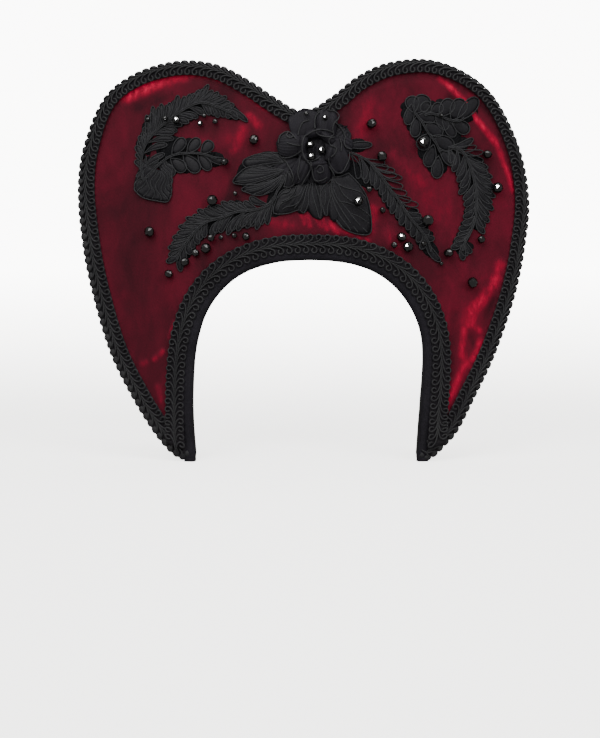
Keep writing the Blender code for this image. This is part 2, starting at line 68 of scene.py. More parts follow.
def linear(hex_colour: str) -> tuple[float, float, float, float]:
    """Turns an sRGB hex colour into the linear colour that a shader takes.

    Args:
        hex_colour: Six hex digits, such as "6e1423".

    Returns:
        Linear red, green, blue and an alpha of one.
    """
    channels = [int(hex_colour[i : i + 2], 16) / 255 for i in (0, 2, 4)]
    curve = [c / 12.92 if c <= 0.04045 else ((c + 0.055) / 1.055) ** 2.4 for c in channels]
    return (curve[0], curve[1], curve[2], 1.0)


def add_node(
    tree: bpy.types.NodeTree, kind: str, settings: dict, links: dict | None = None
) -> bpy.types.Node:
    """Adds a shader node with its settings and incoming links.

    Args:
        tree: Node tree of the material.
        kind: Blender's type name of the node.
        settings: Values of input sockets, by name or number, or of the node's own properties.
        links: Output sockets that feed this node's inputs, by input name or number.

    Returns:
        The new node.
    """
    node = tree.nodes.new(kind)
    for key, value in settings.items():
        if isinstance(key, int) or key in node.inputs:
            node.inputs[key].default_value = value
        else:
            setattr(node, key, value)
    for key, source in (links or {}).items():
        tree.links.new(source, node.inputs[key])
    return node


def colour_stops(node: bpy.types.Node, stops: Sequence[tuple[float, str]]) -> None:
    """Sets the stops of a colour ramp.

    Args:
        node: The ramp.
        stops: Position and hex colour of each stop, from low to high.
    """
    elements = node.color_ramp.elements
    while len(elements) < len(stops):
        elements.new(1.0)
    for element, (position, colour) in zip(elements, stops):
        element.position = position
        element.color = linear(colour)


def smoothstep(low: float, high: float, value: float) -> float:
    """Eases from 0 at low to 1 at high."""
    share = max(0.0, min(1.0, (value - low) / (high - low)))
    return share * share * (3 - 2 * share)


def smooth_path(points: Sequence[Place], steps: int) -> list[Vector]:
    """Catmull-Rom curve through points.

    Args:
        points: Places that the curve passes through.
        steps: Steps from one point to the next.

    Returns:
        The curve's points, the ends included.
    """
    first = 2 * Vector(points[0]) - Vector(points[1])
    last = 2 * Vector(points[-1]) - Vector(points[-2])
    knots = [first, *[Vector(p) for p in points], last]
    path = []
    for a, b, c, d in zip(knots, knots[1:], knots[2:], knots[3:]):
        for step in range(steps):
            t = step / steps
            square = (2 * a - 5 * b + 4 * c - d) * t**2
            cube = (3 * b - a - 3 * c + d) * t**3
            path.append(0.5 * (2 * b + (c - a) * t + square + cube))
    path.append(knots[-2])
    return path


# The bent surface that everything lies on


@dataclass(frozen=True)
class BentPanel:
    """The worn shape of the flat pattern: wings swept back, the whole panel leaning back."""

    sweep_radius: float = 600.0
    lean: float = radians(5.0)
    # How far the foot of the panel's middle surface lies in front of the crown's origin
    origin_depth: float = 26.89
    # Height of the board's front above its middle surface, and of the trims above that
    front: float = 2.0
    gap: float = 0.3
    # How much higher a place lies in the pattern than it looks from the front
    seen_rise: float = 1.6

    @property
    def skin(self) -> float:
        """Height of the undersides of all that is sewn to the velvet."""
        return self.front + self.gap

    def place(self, x: float, z: float, height: float) -> Vector:
        """World position of a pattern point.

        Args:
            x: Pattern place across, in millimetres.
            z: Pattern place upwards.
            height: Height above the panel's middle surface.

        Returns:
            The position, in metres.
        """
        normal = Vector((x / self.sweep_radius, -1.0, tan(self.lean))).normalized()
        depth = x * x / (2 * self.sweep_radius) + z * tan(self.lean) - self.origin_depth
        return (Vector((x, depth, z)) + height * normal) * MM

    def seen(self, x: float, z: float) -> Vector:
        """Pattern point of a place read from the front, where the raised lace looks a little low."""
        return Vector((x, z + self.seen_rise))


SURFACE = BentPanel()


class Track:
    """A path in the pattern plane, with places given by the distance along it."""

    def __init__(self, points: Sequence[Vector]) -> None:
        """Measures the path.

        Args:
            points: Places along the path.
        """
        self.points = [Vector(p) for p in points]
        self.marks = [0.0]
        for a, b in zip(self.points, self.points[1:]):
            self.marks.append(self.marks[-1] + (b - a).length)
        self.length = self.marks[-1]
        self.tangents = []
        for i in range(len(self.points)):
            ahead = self.points[min(i + 1, len(self.points) - 1)]
            behind = self.points[max(i - 1, 0)]
            self.tangents.append((ahead - behind).normalized())

    def at(self, along: float) -> tuple[Vector, Vector, Vector]:
        """Point, direction of travel and the direction to the right of it.

        Args:
            along: Distance from the start, held between the two ends.

        Returns:
            Three vectors of the pattern plane.
        """
        along = max(0.0, min(self.length, along))
        low, high = 0, len(self.marks) - 1
        while high - low > 1:
            middle = (low + high) // 2
            if self.marks[middle] <= along:
                low = middle
            else:
                high = middle
        share = (along - self.marks[low]) / (self.marks[high] - self.marks[low])
        point = self.points[low].lerp(self.points[high], share)
        tangent = self.tangents[low].lerp(self.tangents[high], share).normalized()
        return point, tangent, Vector((tangent.y, -tangent.x))

    def offset(self, distance: float) -> "Track":
        """The track moved to the right of its direction of travel."""
        moved = [p + distance * Vector((t.y, -t.x)) for p, t in zip(self.points, self.tangents)]
        return Track(moved)

    def nearest(self, place: Vector) -> float:
        """Finds the point of the track that lies nearest to a place.

        Args:
            place: A place of the pattern plane.

        Returns:
            That point's distance along the track.
        """
        best, where = float("inf"), 0.0
        for a, b, mark in zip(self.points, self.points[1:], self.marks):
            run = b - a
            share = max(0.0, min(1.0, (place - a).dot(run) / run.length_squared))
            gap = (place - a - share * run).length
            if gap < best:
                best, where = gap, mark + share * run.length
        return where


@dataclass(frozen=True)
class CrownPattern:
    """Outlines of the crown: the heart's silhouette and the arch that the head goes into."""

    # Outer edge of the braid from foot to notch: left x, left z, right x, right z
    heart: tuple[tuple[float, float, float, float], ...] = (
        (-75.0, 2.2, 77.0, 2.2),
        (-81.5, -0.2, 83.0, 0.0),
        (-88.4, 3.3, 89.3, 3.3),
        (-94.0, 8.5, 94.5, 8.5),
        (-102.5, 19.0, 104.0, 19.0),
        (-116.0, 40.0, 115.0, 40.0),
        (-132.0, 71.0, 130.0, 71.0),
        (-144.5, 111.0, 144.0, 111.0),
        (-151.5, 145.0, 151.0, 145.0),
        (-154.0, 180.0, 153.5, 176.0),
        (-149.5, 210.0, 147.0, 210.0),
        (-135.5, 243.0, 130.0, 243.0),
        (-113.0, 260.0, 109.5, 260.0),
        (-83.5, 267.5, 84.0, 268.5),
        (-57.0, 264.5, 56.5, 266.0),
        (-35.0, 253.5, 35.5, 256.5),
        (-18.5, 242.5, 19.0, 243.5),
    )
    notch: Place = (0.0, 233.5)
    heart_steps: int = 8
    # How far the board's edge lies inside the braid's
    edge_inset: float = 2.3
    # Arch: half width at the spring and at the feet, height of the spring and of the top
    half_width: float = 77.3
    end_half_width: float = 74.6
    spring: float = 57.0
    top: float = 133.7
    # How square the arch's round part is, where 2 would be an ellipse
    exponent: float = 2.47
    # The arch's middle line at its feet, and how far it moves to the right between two heights
    centre: float = 1.9
    shift: float = 2.6
    shift_low: float = 20.0
    shift_high: float = 90.0
    # Lowest point of the braid along the arch
    braid_foot: float = 4.5
    side_steps: int = 14
    round_steps: int = 72

    def silhouette(self, skip: int = 0) -> Track:
        """The heart's outline from the left foot over both lobes to the right foot.

        Args:
            skip: Stations left out at each foot.

        Returns:
            The outline as a track.
        """
        rows = self.heart[skip:]
        left = [(x, z) for x, z, _, _ in rows]
        right = [(x, z) for _, _, x, z in reversed(rows)]
        return Track(smooth_path([*left, self.notch, *right], self.heart_steps))

    def arch(self) -> Track:
        """Inner face of the head band.

        Returns:
            The arch as a track, from the left end over the top to the right end.
        """
        side = []
        for step in range(self.side_steps):
            t = step / self.side_steps
            half = self.end_half_width + (self.half_width - self.end_half_width) * sin(t * pi / 2)
            side.append((half, self.spring * t))
        crown = []
        for step in range(self.round_steps + 1):
            angle = pi * (1 - step / self.round_steps)
            across = abs(cos(angle)) ** (2 / self.exponent) * (1 if cos(angle) > 0 else -1)
            up = max(0.0, sin(angle)) ** (2 / self.exponent)
            crown.append((self.half_width * across, self.spring + (self.top - self.spring) * up))
        left = [(-half, z) for half, z in side]
        right = [(half, z) for half, z in reversed(side)]
        points = []
        for x, z in (*left, *crown, *right):
            aside = self.shift * smoothstep(self.shift_low, self.shift_high, z)
            points.append(Vector((x + self.centre + aside, z)))
        return Track(points)


PATTERN = CrownPattern()


# Making pieces


class Slot(Enum):
    """Material slots of the record that the pieces take their finish from."""

    CRIMSON_VELVET = "crimson_velvet"
    BLACK_VELVET = "black_velvet"
    BLACK_GIMP = "black_gimp"
    BLACK_SATIN = "black_satin"
    JET_GLASS = "jet_glass"


def keep(
    piece: bpy.types.Object, material: bpy.types.Material, slot: Slot, nodes: Sequence[str] = ()
) -> None:
    """Dresses a finished piece and ties it to the frame.

    Args:
        piece: The piece, in place.
        material: Its finish.
        slot: The record's slot for that finish.
        nodes: CAD nodes that the piece stands for.
    """
    piece.data.materials.clear()
    piece.data.materials.append(material)
    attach(piece, "root")
    if nodes:
        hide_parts(*nodes)
    log.info("%s: %s%s", piece.name, slot.value, f", for {len(nodes)} nodes" if nodes else "")


def object_of(bm: bmesh.types.BMesh, name: str, smooth: bool = True) -> bpy.types.Object:
    """Turns a bmesh into an object of the scene and frees it.

    Args:
        bm: The finished bmesh, in metres.
        name: The piece's name.
        smooth: Whether its faces are shaded smooth.

    Returns:
        The new object.
    """
    mesh = bpy.data.meshes.new(name)
    bm.to_mesh(mesh)
    bm.free()
    if smooth:
        mesh.shade_smooth()
    piece = bpy.data.objects.new(name, mesh)
    bpy.context.scene.collection.objects.link(piece)
    return piece


def mapped_grid(
    bm: bmesh.types.BMesh, columns: int, rows: int, spot: Callable[[float, float], Spot]
) -> list[bmesh.types.BMVert]:
    """Adds a grid whose points are laid on the bent panel.

    Args:
        bm: The bmesh that the grid is added to.
        columns: Cells along the grid's first direction.
        rows: Cells along its second direction.
        spot: Gives pattern x, z and height for two shares from 0 to 1.

    Returns:
        The grid's vertices.
    """
    made = bmesh.ops.create_grid(bm, x_segments=columns, y_segments=rows, size=0.5, calc_uvs=True)["verts"]
    for vert in made:
        x, z, height = spot(vert.co.x + 0.5, vert.co.y + 0.5)
        vert.co = SURFACE.place(x, z, height)
    return made


class CordWork:
    """Cords of one thickness that make up one piece: a curve with one spline for each cord."""

    def __init__(self, name: str, radius: float) -> None:
        """Starts the piece. Its cords have six sides.

        Args:
            name: The piece's name.
            radius: Radius of the cords, in millimetres.
        """
        self.curve = bpy.data.curves.new(name, "CURVE")
        self.curve.dimensions = "3D"
        self.curve.bevel_depth = radius * MM
        self.curve.bevel_resolution = 1
        self.curve.use_fill_caps = True

    def run(self, spots: Sequence[Spot]) -> None:
        """Lays one cord through pattern spots."""
        self.run_world([SURFACE.place(*spot) for spot in spots])

    def run_world(self, points: Sequence[Vector]) -> None:
        """Lays one cord through world positions.

        Args:
            points: The positions, in metres.
        """
        spline = self.curve.splines.new("POLY")
        spline.points.add(len(points) - 1)
        for point, at in zip(spline.points, points):
            point.co = (*at, 1.0)
        spline.use_smooth = True

    def build(self) -> bpy.types.Object:
        """Finishes the piece.

        Returns:
            The curve object, linked to the scene.
        """
        piece = bpy.data.objects.new(self.curve.name, self.curve)
        bpy.context.scene.collection.objects.link(piece)
        return piece


# Finishes


def new_material(name: str) -> tuple[bpy.types.Material, bpy.types.NodeTree, bpy.types.Node]:
    """Starts a material.

    Args:
        name: The material's name.

    Returns:
        The material, its node tree and its Principled shader.
    """
    material = bpy.data.materials.new(name)
    material.use_nodes = True
    tree = material.node_tree
    return material, tree, tree.nodes["Principled BSDF"]


@dataclass(frozen=True)
class CrushedVelvet:
    """Silk-rayon velvet, its pile crushed in patches: deep where it stands up, bright where it lies."""

    name: str = "crushed_crimson_velvet"
    # Colours from upright pile to flat pile, each with its place on the ramp; the stops above the middle are
    # reached only where painted highlights lie
    colours: tuple[tuple[float, str], ...] = (
        (0.18, "350d17"), (0.26, "450e1b"), (0.36, "5a0f21"), (0.58, "8a0e2a"), (0.95, "cc1640"),
    )
    sheen: str = "ff5a75"
    # Size of the patches, of the crush in them, of the ragged edges of the painted highlights and shade,
    # and of the pile's tufts; the tufts are drawn coarser than real pile, so that they show
    patch_mm: float = 34.0
    crush_mm: float = 10.0
    fray_mm: float = 3.5
    pile_mm: float = 0.8
    # How much each of the three counts in the colour
    patch_share: float = 0.55
    crush_share: float = 0.2
    pile_share: float = 0.1

    def material(self) -> bpy.types.Material:
        """Builds the finish, in which an attribute adds painted highlights and painted shade to the patches.

        Returns:
            The material.
        """
        material, tree, shader = new_material(self.name)
        place = add_node(tree, "ShaderNodeTexCoord", {})
        stretch = add_node(
            tree, "ShaderNodeMapping", {"Scale": (1.0, 1.0, 0.5), "Rotation": (0, radians(16), 0)},
            {"Vector": place.outputs["Object"]},
        )
        patches = add_node(
            tree, "ShaderNodeTexNoise",
            {"Scale": 1 / (self.patch_mm * MM), "Detail": 2.5, "Roughness": 0.5, "Distortion": 0.6},
            {"Vector": stretch.outputs["Vector"]},
        )
        crush = add_node(
            tree, "ShaderNodeTexNoise",
            {"Scale": 1 / (self.crush_mm * MM), "Detail": 2.5, "Roughness": 0.55, "Distortion": 0.8},
            {"Vector": stretch.outputs["Vector"]},
        )
        pile = add_node(
            tree, "ShaderNodeTexNoise", {"Scale": 1 / (self.pile_mm * MM), "Detail": 2.0},
            {"Vector": place.outputs["Object"]},
        )
        fray = add_node(
            tree, "ShaderNodeTexNoise", {"Scale": 1 / (self.fray_mm * MM), "Detail": 3.0, "Roughness": 0.6},
            {"Vector": stretch.outputs["Vector"]},
        )
        # Painted highlights of the folds and painted shade of the hollows, stored on the cover's points
        painted_light = add_node(tree, "ShaderNodeAttribute", {"attribute_name": "painted_light"})
        slow = add_node(
            tree, "ShaderNodeMath", {"operation": "MULTIPLY", 1: self.patch_share},
            {0: patches.outputs["Fac"]},
        )
        mixed = add_node(
            tree, "ShaderNodeMath", {"operation": "MULTIPLY_ADD", 1: self.crush_share},
            {0: crush.outputs["Fac"], 2: slow.outputs["Value"]},
        )
        fine = add_node(
            tree, "ShaderNodeMath", {"operation": "MULTIPLY_ADD", 1: self.pile_share},
            {0: pile.outputs["Fac"], 2: mixed.outputs["Value"]},
        )
        ragged = add_node(
            tree, "ShaderNodeMapRange", {"From Min": 0.36, "From Max": 0.64, "To Min": 0.5, "To Max": 1.15},
            {"Value": fray.outputs["Fac"]},
        )
        # The painted light, frayed by noise, is added to the patches' colour
        level = add_node(
            tree, "ShaderNodeMath", {"operation": "MULTIPLY_ADD"},
            {0: painted_light.outputs["Fac"], 1: ragged.outputs["Result"], 2: fine.outputs["Value"]},
        )
        share = add_node(
            tree, "ShaderNodeMapRange", {"From Min": 0.08, "From Max": 1.38},
            {"Value": level.outputs["Value"]},
        )
        ramp = add_node(tree, "ShaderNodeValToRGB", {}, {"Fac": share.outputs["Result"]})
        colour_stops(ramp, self.colours)
        tree.links.new(ramp.outputs["Color"], shader.inputs["Base Color"])
        shader.inputs["Roughness"].default_value = 0.7
        shader.inputs["Specular IOR Level"].default_value = 0.06
        shader.inputs["Sheen Weight"].default_value = 0.05
        shader.inputs["Sheen Roughness"].default_value = 0.35
        shader.inputs["Sheen Tint"].default_value = linear(self.sheen)
        dents = add_node(
            tree, "ShaderNodeBump", {"Strength": 0.5, "Distance": 0.001}, {"Height": mixed.outputs["Value"]}
        )
        surface = add_node(
            tree, "ShaderNodeBump", {"Strength": 0.2, "Distance": 0.0003},
            {"Height": pile.outputs["Fac"], "Normal": dents.outputs["Normal"]},
        )
        tree.links.new(surface.outputs["Normal"], shader.inputs["Normal"])
        return material


@dataclass(frozen=True)
class BlackCloth:
    """A black textile: how dark it is, the size of its threads and how far it shines."""

    name: str
    dark: str
    light: str
    thread_mm: float
    roughness: float
    gloss: float
    alpha: float = 1.0
    bump: float = 0.35
    # Size of the patches that wear has greyed
    wear_mm: float = 14.0

    def material(self) -> bpy.types.Material:
        """Builds the finish, with threads that show as fine mottling and relief.

        Returns:
            The material.
        """
        material, tree, shader = new_material(self.name)
        place = add_node(tree, "ShaderNodeTexCoord", {})
        threads = add_node(
            tree, "ShaderNodeTexNoise",
            {"Scale": 1 / (self.thread_mm * MM), "Detail": 3.0, "Roughness": 0.6},
            {"Vector": place.outputs["Object"]},
        )
        wear = add_node(
            tree, "ShaderNodeTexNoise", {"Scale": 1 / (self.wear_mm * MM), "Detail": 2.0},
            {"Vector": place.outputs["Object"]},
        )
        level = add_node(
            tree, "ShaderNodeMath", {"operation": "MULTIPLY_ADD", 1: 0.5},
            {0: wear.outputs["Fac"], 2: threads.outputs["Fac"]},
        )
        ramp = add_node(tree, "ShaderNodeValToRGB", {}, {"Fac": level.outputs["Value"]})
        colour_stops(ramp, ((0.55, self.dark), (0.95, self.light)))
        tree.links.new(ramp.outputs["Color"], shader.inputs["Base Color"])
        shader.inputs["Roughness"].default_value = self.roughness
        shader.inputs["Specular IOR Level"].default_value = self.gloss
        shader.inputs["Alpha"].default_value = self.alpha
        relief = add_node(
            tree, "ShaderNodeBump", {"Strength": self.bump, "Distance": 0.0004},
            {"Height": threads.outputs["Fac"]},
        )
        tree.links.new(relief.outputs["Normal"], shader.inputs["Normal"])
        return material


@dataclass(frozen=True)
class JetGlass:
    """Pressed black glass, fire-polished: near mirror-smooth facets with a faint haze."""

    name: str = "fire_polished_jet_glass"
    body: str = "070707"
    haze_mm: float = 2.0

    def material(self) -> bpy.types.Material:
        """Builds the finish.

        Returns:
            The material.
        """
        material, tree, shader = new_material(self.name)
        place = add_node(tree, "ShaderNodeTexCoord", {})
        haze = add_node(
            tree, "ShaderNodeTexNoise", {"Scale": 1 / (self.haze_mm * MM), "Detail": 2.0},
            {"Vector": place.outputs["Object"]},
        )
        gloss = add_node(
            tree, "ShaderNodeMapRange", {"To Min": 0.03, "To Max": 0.14}, {"Value": haze.outputs["Fac"]}
        )
        tree.links.new(gloss.outputs["Result"], shader.inputs["Roughness"])
        shader.inputs["Base Color"].default_value = linear(self.body)
        shader.inputs["IOR"].default_value = 1.56
        shader.inputs["Specular IOR Level"].default_value = 0.45
        return material


# Short pile velvet over the band: nearly black, soft, no gloss
BAND_VELVET = BlackCloth("black_band_velvet", "1b1a1d", "28262b", thread_mm=0.8, roughness=0.85, gloss=0.03)
# Rayon cord of the gimp: tightly wound, so each turn has a soft satin gleam
GIMP_RAYON = BlackCloth(
    "black_rayon_gimp_cord", "222123", "303031", thread_mm=0.5, roughness=0.55, gloss=0.13
)
# Woven tape under the gimp's cords
GIMP_TAPE = BlackCloth("black_gimp_tape", "201e21", "2a282b", thread_mm=0.9, roughness=0.85, gloss=0.03)
# Rayon cord that outlines the lace leaves
LACE_CORD = BlackCloth("black_lace_cord", "242426", "333335", thread_mm=0.5, roughness=0.6, gloss=0.12)
# The finer cord that edges the rose's petals
ROSE_CORD = BlackCloth("black_rose_cord", "272728", "363638", thread_mm=0.5, roughness=0.6, gloss=0.12)
# Satin stitch that fills the leaves: long threads that catch the light on the leaf's crown
LACE_SATIN = BlackCloth("black_satin_stitch", "0f0e11", "1a191d", thread_mm=0.6, roughness=0.5, gloss=0.11)
# Organza of the rose: a faded black with a touch of plum, crisp
ORGANZA = BlackCloth("black_organza", "131115", "201e24", thread_mm=0.4, roughness=0.6, gloss=0.11)
# Net that the lace is worked on, which lets a little of the velvet through
NET = BlackCloth("black_lace_net", "111113", "19191b", thread_mm=0.7, roughness=0.8, gloss=0.03, alpha=0.9)


# The crown's sub-assemblies


@dataclass
class VelvetCover:
    """Crushed velvet stretched over the heart-shaped board, front, edge and back in one skin."""

    columns: int = 350
    front_rows: int = 104
    edge_rows: int = 6
    back_rows: int = 12
    # How far the cloth starts outside the arch's inner face, and how far below the board's faces
    band_gap: float = 5.3
    sunk: float = 0.2
    puff: float = 0.5
    # Stations of the heart's outline below the cloth's ends, and how far the ends run on there
    foot_stations: int = 3
    foot_run: float = 3.0
    # Where the folds begin and where they reach their full height, from the arch and from the rim
    from_arch: Place = (9.0, 14.5)
    from_rim: Place = (8.0, 13.0)
    # Slack of the cloth, in waves and ripples: length across, length upwards, layer of noise, height
    slack: tuple[tuple[float, ...], ...] = ((26.0, 46.8, 3.7, 0.35), (9.0, 16.0, 1.3, 0.16))
    # Folds: x, z of start and end, half width, height, brightness of the painted highlight on them
    folds_with_painted_highlights: tuple[tuple[float, ...], ...] = (
        (-119.0, 244.5, -97.0, 254.0, 8.0, 0.9, 0.80),
        (-97.0, 254.0, -80.0, 257.5, 7.0, 0.7, 0.50),
        (-80.0, 257.6, -60.0, 256.6, 3.2, 0.5, 0.40),
        (-60.0, 256.6, -40.0, 248.0, 4.0, 0.6, 0.56),
        (-40.0, 248.0, -24.0, 235.5, 4.4, 0.5, 0.56),
        (-36.0, 230.0, -30.0, 224.0, 5.0, 0.3, 0.34),
        (-40.0, 222.0, -46.0, 208.0, 6.0, 0.3, 0.26),
        (-68.0, 212.0, -47.0, 214.0, 9.0, 0.2, 0.12),
        (90.8, 255.7, 98.5, 250.2, 3.0, 0.6, 0.50),
        (98.5, 250.2, 105.0, 243.6, 3.4, 0.9, 0.72),
        (105.0, 243.6, 110.5, 238.1, 3.2, 0.9, 0.66),
        (112.5, 245.5, 119.0, 241.0, 3.0, 0.4, 0.30),
        (110.5, 238.1, 116.0, 229.3, 3.0, 0.7, 0.52),
        (116.0, 229.3, 122.6, 221.7, 3.4, 0.8, 0.66),
        (122.6, 221.7, 129.2, 214.0, 3.6, 0.8, 0.62),
        (129.2, 214.0, 133.5, 205.2, 3.4, 0.7, 0.54),
        (133.5, 205.2, 136.2, 197.5, 3.2, 0.7, 0.44),
        (136.2, 197.5, 140.1, 187.7, 3.0, 0.7, 0.48),
        (140.1, 187.7, 141.9, 181.1, 3.0, 0.6, 0.40),
        (120.0, 122.0, 112.0, 92.0, 13.0, 0.4, 0.18),
        (133.0, 131.0, 130.0, 121.0, 6.5, 0.3, 0.40),
        (130.0, 121.0, 122.5, 110.0, 7.0, 0.4, 0.52),
        (122.5, 110.0, 113.5, 100.0, 7.5, 0.4, 0.50),
        (113.5, 100.0, 113.0, 92.0, 7.0, 0.3, 0.48),
        (113.0, 92.0, 119.0, 87.0, 4.0, 0.2, 0.36),
        (119.5, 80.0, 114.0, 68.0, 4.6, 0.2, 0.42),
        (108.0, 88.0, 106.5, 72.0, 4.6, 0.3, 0.42),
        (106.5, 72.0, 110.5, 64.0, 5.0, 0.2, 0.40),
        (110.0, 66.0, 104.5, 56.0, 5.0, 0.2, 0.44),
        (104.5, 56.0, 99.5, 43.0, 4.2, 0.3, 0.48),
        (99.5, 43.0, 95.5, 34.0, 3.4, 0.2, 0.34),
        (-86.5, 93.0, -90.0, 83.0, 2.6, 0.3, 0.30),
        (-94.5, 73.5, -100.3, 67.8, 3.0, 0.3, 0.32),
        (-106.5, 66.0, -108.5, 65.0, 3.2, 0.2, 0.28),
        (-98.0, 50.0, -95.4, 40.0, 3.6, 0.2, 0.18),
        (46.0, 168.0, 43.0, 154.0, 7.0, 0.3, 0.38),
        (58.0, 152.0, 66.0, 134.0, 8.0, 0.3, 0.22),
        (-1.5, 164.3, 0.9, 159.0, 2.6, 0.2, 0.30),
        (2.3, 163.8, 4.2, 157.1, 2.8, 0.2, 0.36),
        (8.1, 163.8, 12.0, 157.1, 2.8, 0.2, 0.36),
        (12.9, 160.9, 15.8, 155.1, 2.6, 0.2, 0.34),
        (17.8, 159.0, 22.6, 153.2, 3.4, 0.3, 0.48),
        (24.5, 154.2, 34.2, 151.8, 3.0, 0.3, 0.36),
        (36.0, 150.3, 43.8, 147.4, 3.0, 0.3, 0.36),
        (-24.0, 160.0, -6.0, 157.0, 6.0, 0.2, 0.16),
        (60.0, 205.0, 78.0, 186.0, 12.0, 0.3, 0.20),
        (38.0, 218.0, 44.0, 240.0, 9.0, 0.3, 0.18),
        # Broad rows with no height: painted highlight alone
        (60.0, 235.0, 95.0, 160.0, 40.0, 0.0, 0.09),
        (100.0, 120.0, 112.0, 60.0, 30.0, 0.0, 0.07),
    )
    # Hollows beside the folds, in the same way, with the darkness of the painted shade in them in place of
    # brightness
    hollows_with_painted_shade: tuple[tuple[float, ...], ...] = (
        (-112.0, 236.0, -88.0, 245.0, 5.0, 0.0, 0.12),
        (112.5, 249.0, 128.0, 231.0, 5.5, 0.5, 0.20),
        (128.0, 231.0, 141.0, 207.0, 5.0, 0.5, 0.20),
        (141.0, 207.0, 145.5, 180.0, 4.5, 0.5, 0.16),
        (98.0, 243.0, 108.0, 233.0, 4.0, 0.3, 0.12),
        (112.0, 214.0, 124.0, 196.0, 4.0, 0.3, 0.10),
        (113.0, 83.0, 115.0, 76.0, 3.6, 0.3, 0.16),
        (128.5, 107.0, 124.0, 97.0, 4.5, 0.3, 0.14),
        (102.0, 98.0, 100.0, 58.0, 5.5, 0.3, 0.14),
        # Rows with no depth: painted shade alone
        (-52.0, 158.0, -30.0, 150.0, 8.0, 0.0, 0.08),
        (-44.0, 184.0, -50.0, 173.0, 8.0, 0.0, 0.16),
    )
    finish: CrushedVelvet = field(default_factory=CrushedVelvet)

    def stroke(self, rows: Sequence[tuple[float, ...]], x: float, z: float, column: int) -> float:
        """Greatest value that the folds or the hollows have at a pattern place.

        Args:
            rows: The folds or the hollows.
            x: Pattern place across.
            z: Pattern place upwards.
            column: Which value: 5 for height or depth, 6 for painted highlight or painted shade.

        Returns:
            The rows' own value along their middle lines, easing to nothing beside them.
        """
        total = 0.0
        for row in rows:
            start = Vector(row[0:2])
            run = Vector(row[2:4]) - start
            share = max(0.0, min(1.0, (Vector((x, z)) - start).dot(run) / run.length_squared))
            away = (Vector((x, z)) - start - share * run).length / row[4]
            total = max(total, row[column] * smoothstep(0, 1, 1 - away))
        return total

    def crush(self, x: float, z: float) -> float:
        """Height of the slack cloth's waves and ripples at a pattern place, in millimetres."""
        places = ((rise, Vector((x / wide, z / tall, layer))) for wide, tall, layer, rise in self.slack)
        return sum(rise * noise.noise(place) for rise, place in places)

    def build(self) -> None:
        """Builds the skin as one closed sheet and dresses it."""
        inner = PATTERN.arch().offset(-self.band_gap)
        outer = PATTERN.silhouette(skip=self.foot_stations).offset(PATTERN.edge_inset)
        lowest = max(outer.points[0].y, outer.points[-1].y) - self.foot_run
        inner = Track([p for p in inner.points if p.y > lowest])
        total = self.front_rows + self.edge_rows + self.back_rows
        front_share = self.front_rows / total
        edge_share = (self.front_rows + self.edge_rows) / total
        level = SURFACE.front - self.sunk

        def spot(u: float, v: float) -> Spot:
            """Pattern spot of the skin, at shares of the way round the heart and round the board."""
            near = inner.at(u * inner.length)[0]
            edge, _, inward = outer.at(u * outer.length)
            rim = edge + SURFACE.front * inward
            if v <= front_share + TINY:
                at = near.lerp(rim, v / front_share)
                ease = smoothstep(*self.from_arch, (at - near).length)
                ease *= smoothstep(*self.from_rim, (at - rim).length)
                folds_with_painted_highlights = self.stroke(self.folds_with_painted_highlights, at.x, at.y, 5) - self.stroke(self.hollows_with_painted_shade, at.x, at.y, 5)
                return (at.x, at.y, level + ease * (self.puff + folds_with_painted_highlights + self.crush(at.x, at.y)))
            if v <= edge_share + TINY:
                turn = pi * (v - front_share) / (edge_share - front_share)
                at = rim - SURFACE.front * sin(turn) * inward
                return (at.x, at.y, level * cos(turn))
            if v > 1 - 0.5 / total:
                return (near.x, near.y, level)
            share = (v - edge_share) / (1 - edge_share) * self.back_rows / (self.back_rows - 1)
            at = rim.lerp(near, min(1.0, share))
            return (at.x, at.y, -level)

        bm = bmesh.new()
        mapped_grid(bm, self.columns, total, spot)
        bmesh.ops.remove_doubles(bm, verts=[v for v in bm.verts if v.is_boundary], dist=TINY)
        bmesh.ops.holes_fill(bm, edges=[e for e in bm.edges if e.is_boundary], sides=0)
        bmesh.ops.triangulate(bm, faces=[f for f in bm.faces if len(f.verts) > 4])
        bmesh.ops.recalc_face_normals(bm, faces=bm.faces)
        piece = object_of(bm, "crushed_velvet_cover")
        self.paint_light(piece)
        keep(piece, self.finish.material(), Slot.CRIMSON_VELVET, ["velvet_panel"])

    def paint_light(self, piece: bpy.types.Object) -> None:
        """Stores painted highlights and painted shade as an attribute that the finish reads.

        Args:
            piece: The cover, whose front alone has folds.
        """
        painted_light = piece.data.attributes.new("painted_light", "FLOAT", "POINT")
        for vert, value in zip(piece.data.vertices, painted_light.data):
            x, y, z = vert.co / MM
            middle = x * x / (2 * SURFACE.sweep_radius) + z * tan(SURFACE.lean) - SURFACE.origin_depth
            if y < middle:
                # Painted highlight along the folds, less painted shade in the hollows, on the front only
                value.value = self.stroke(self.folds_with_painted_highlights, x, z, 6) - self.stroke(self.hollows_with_painted_shade, x, z, 6)


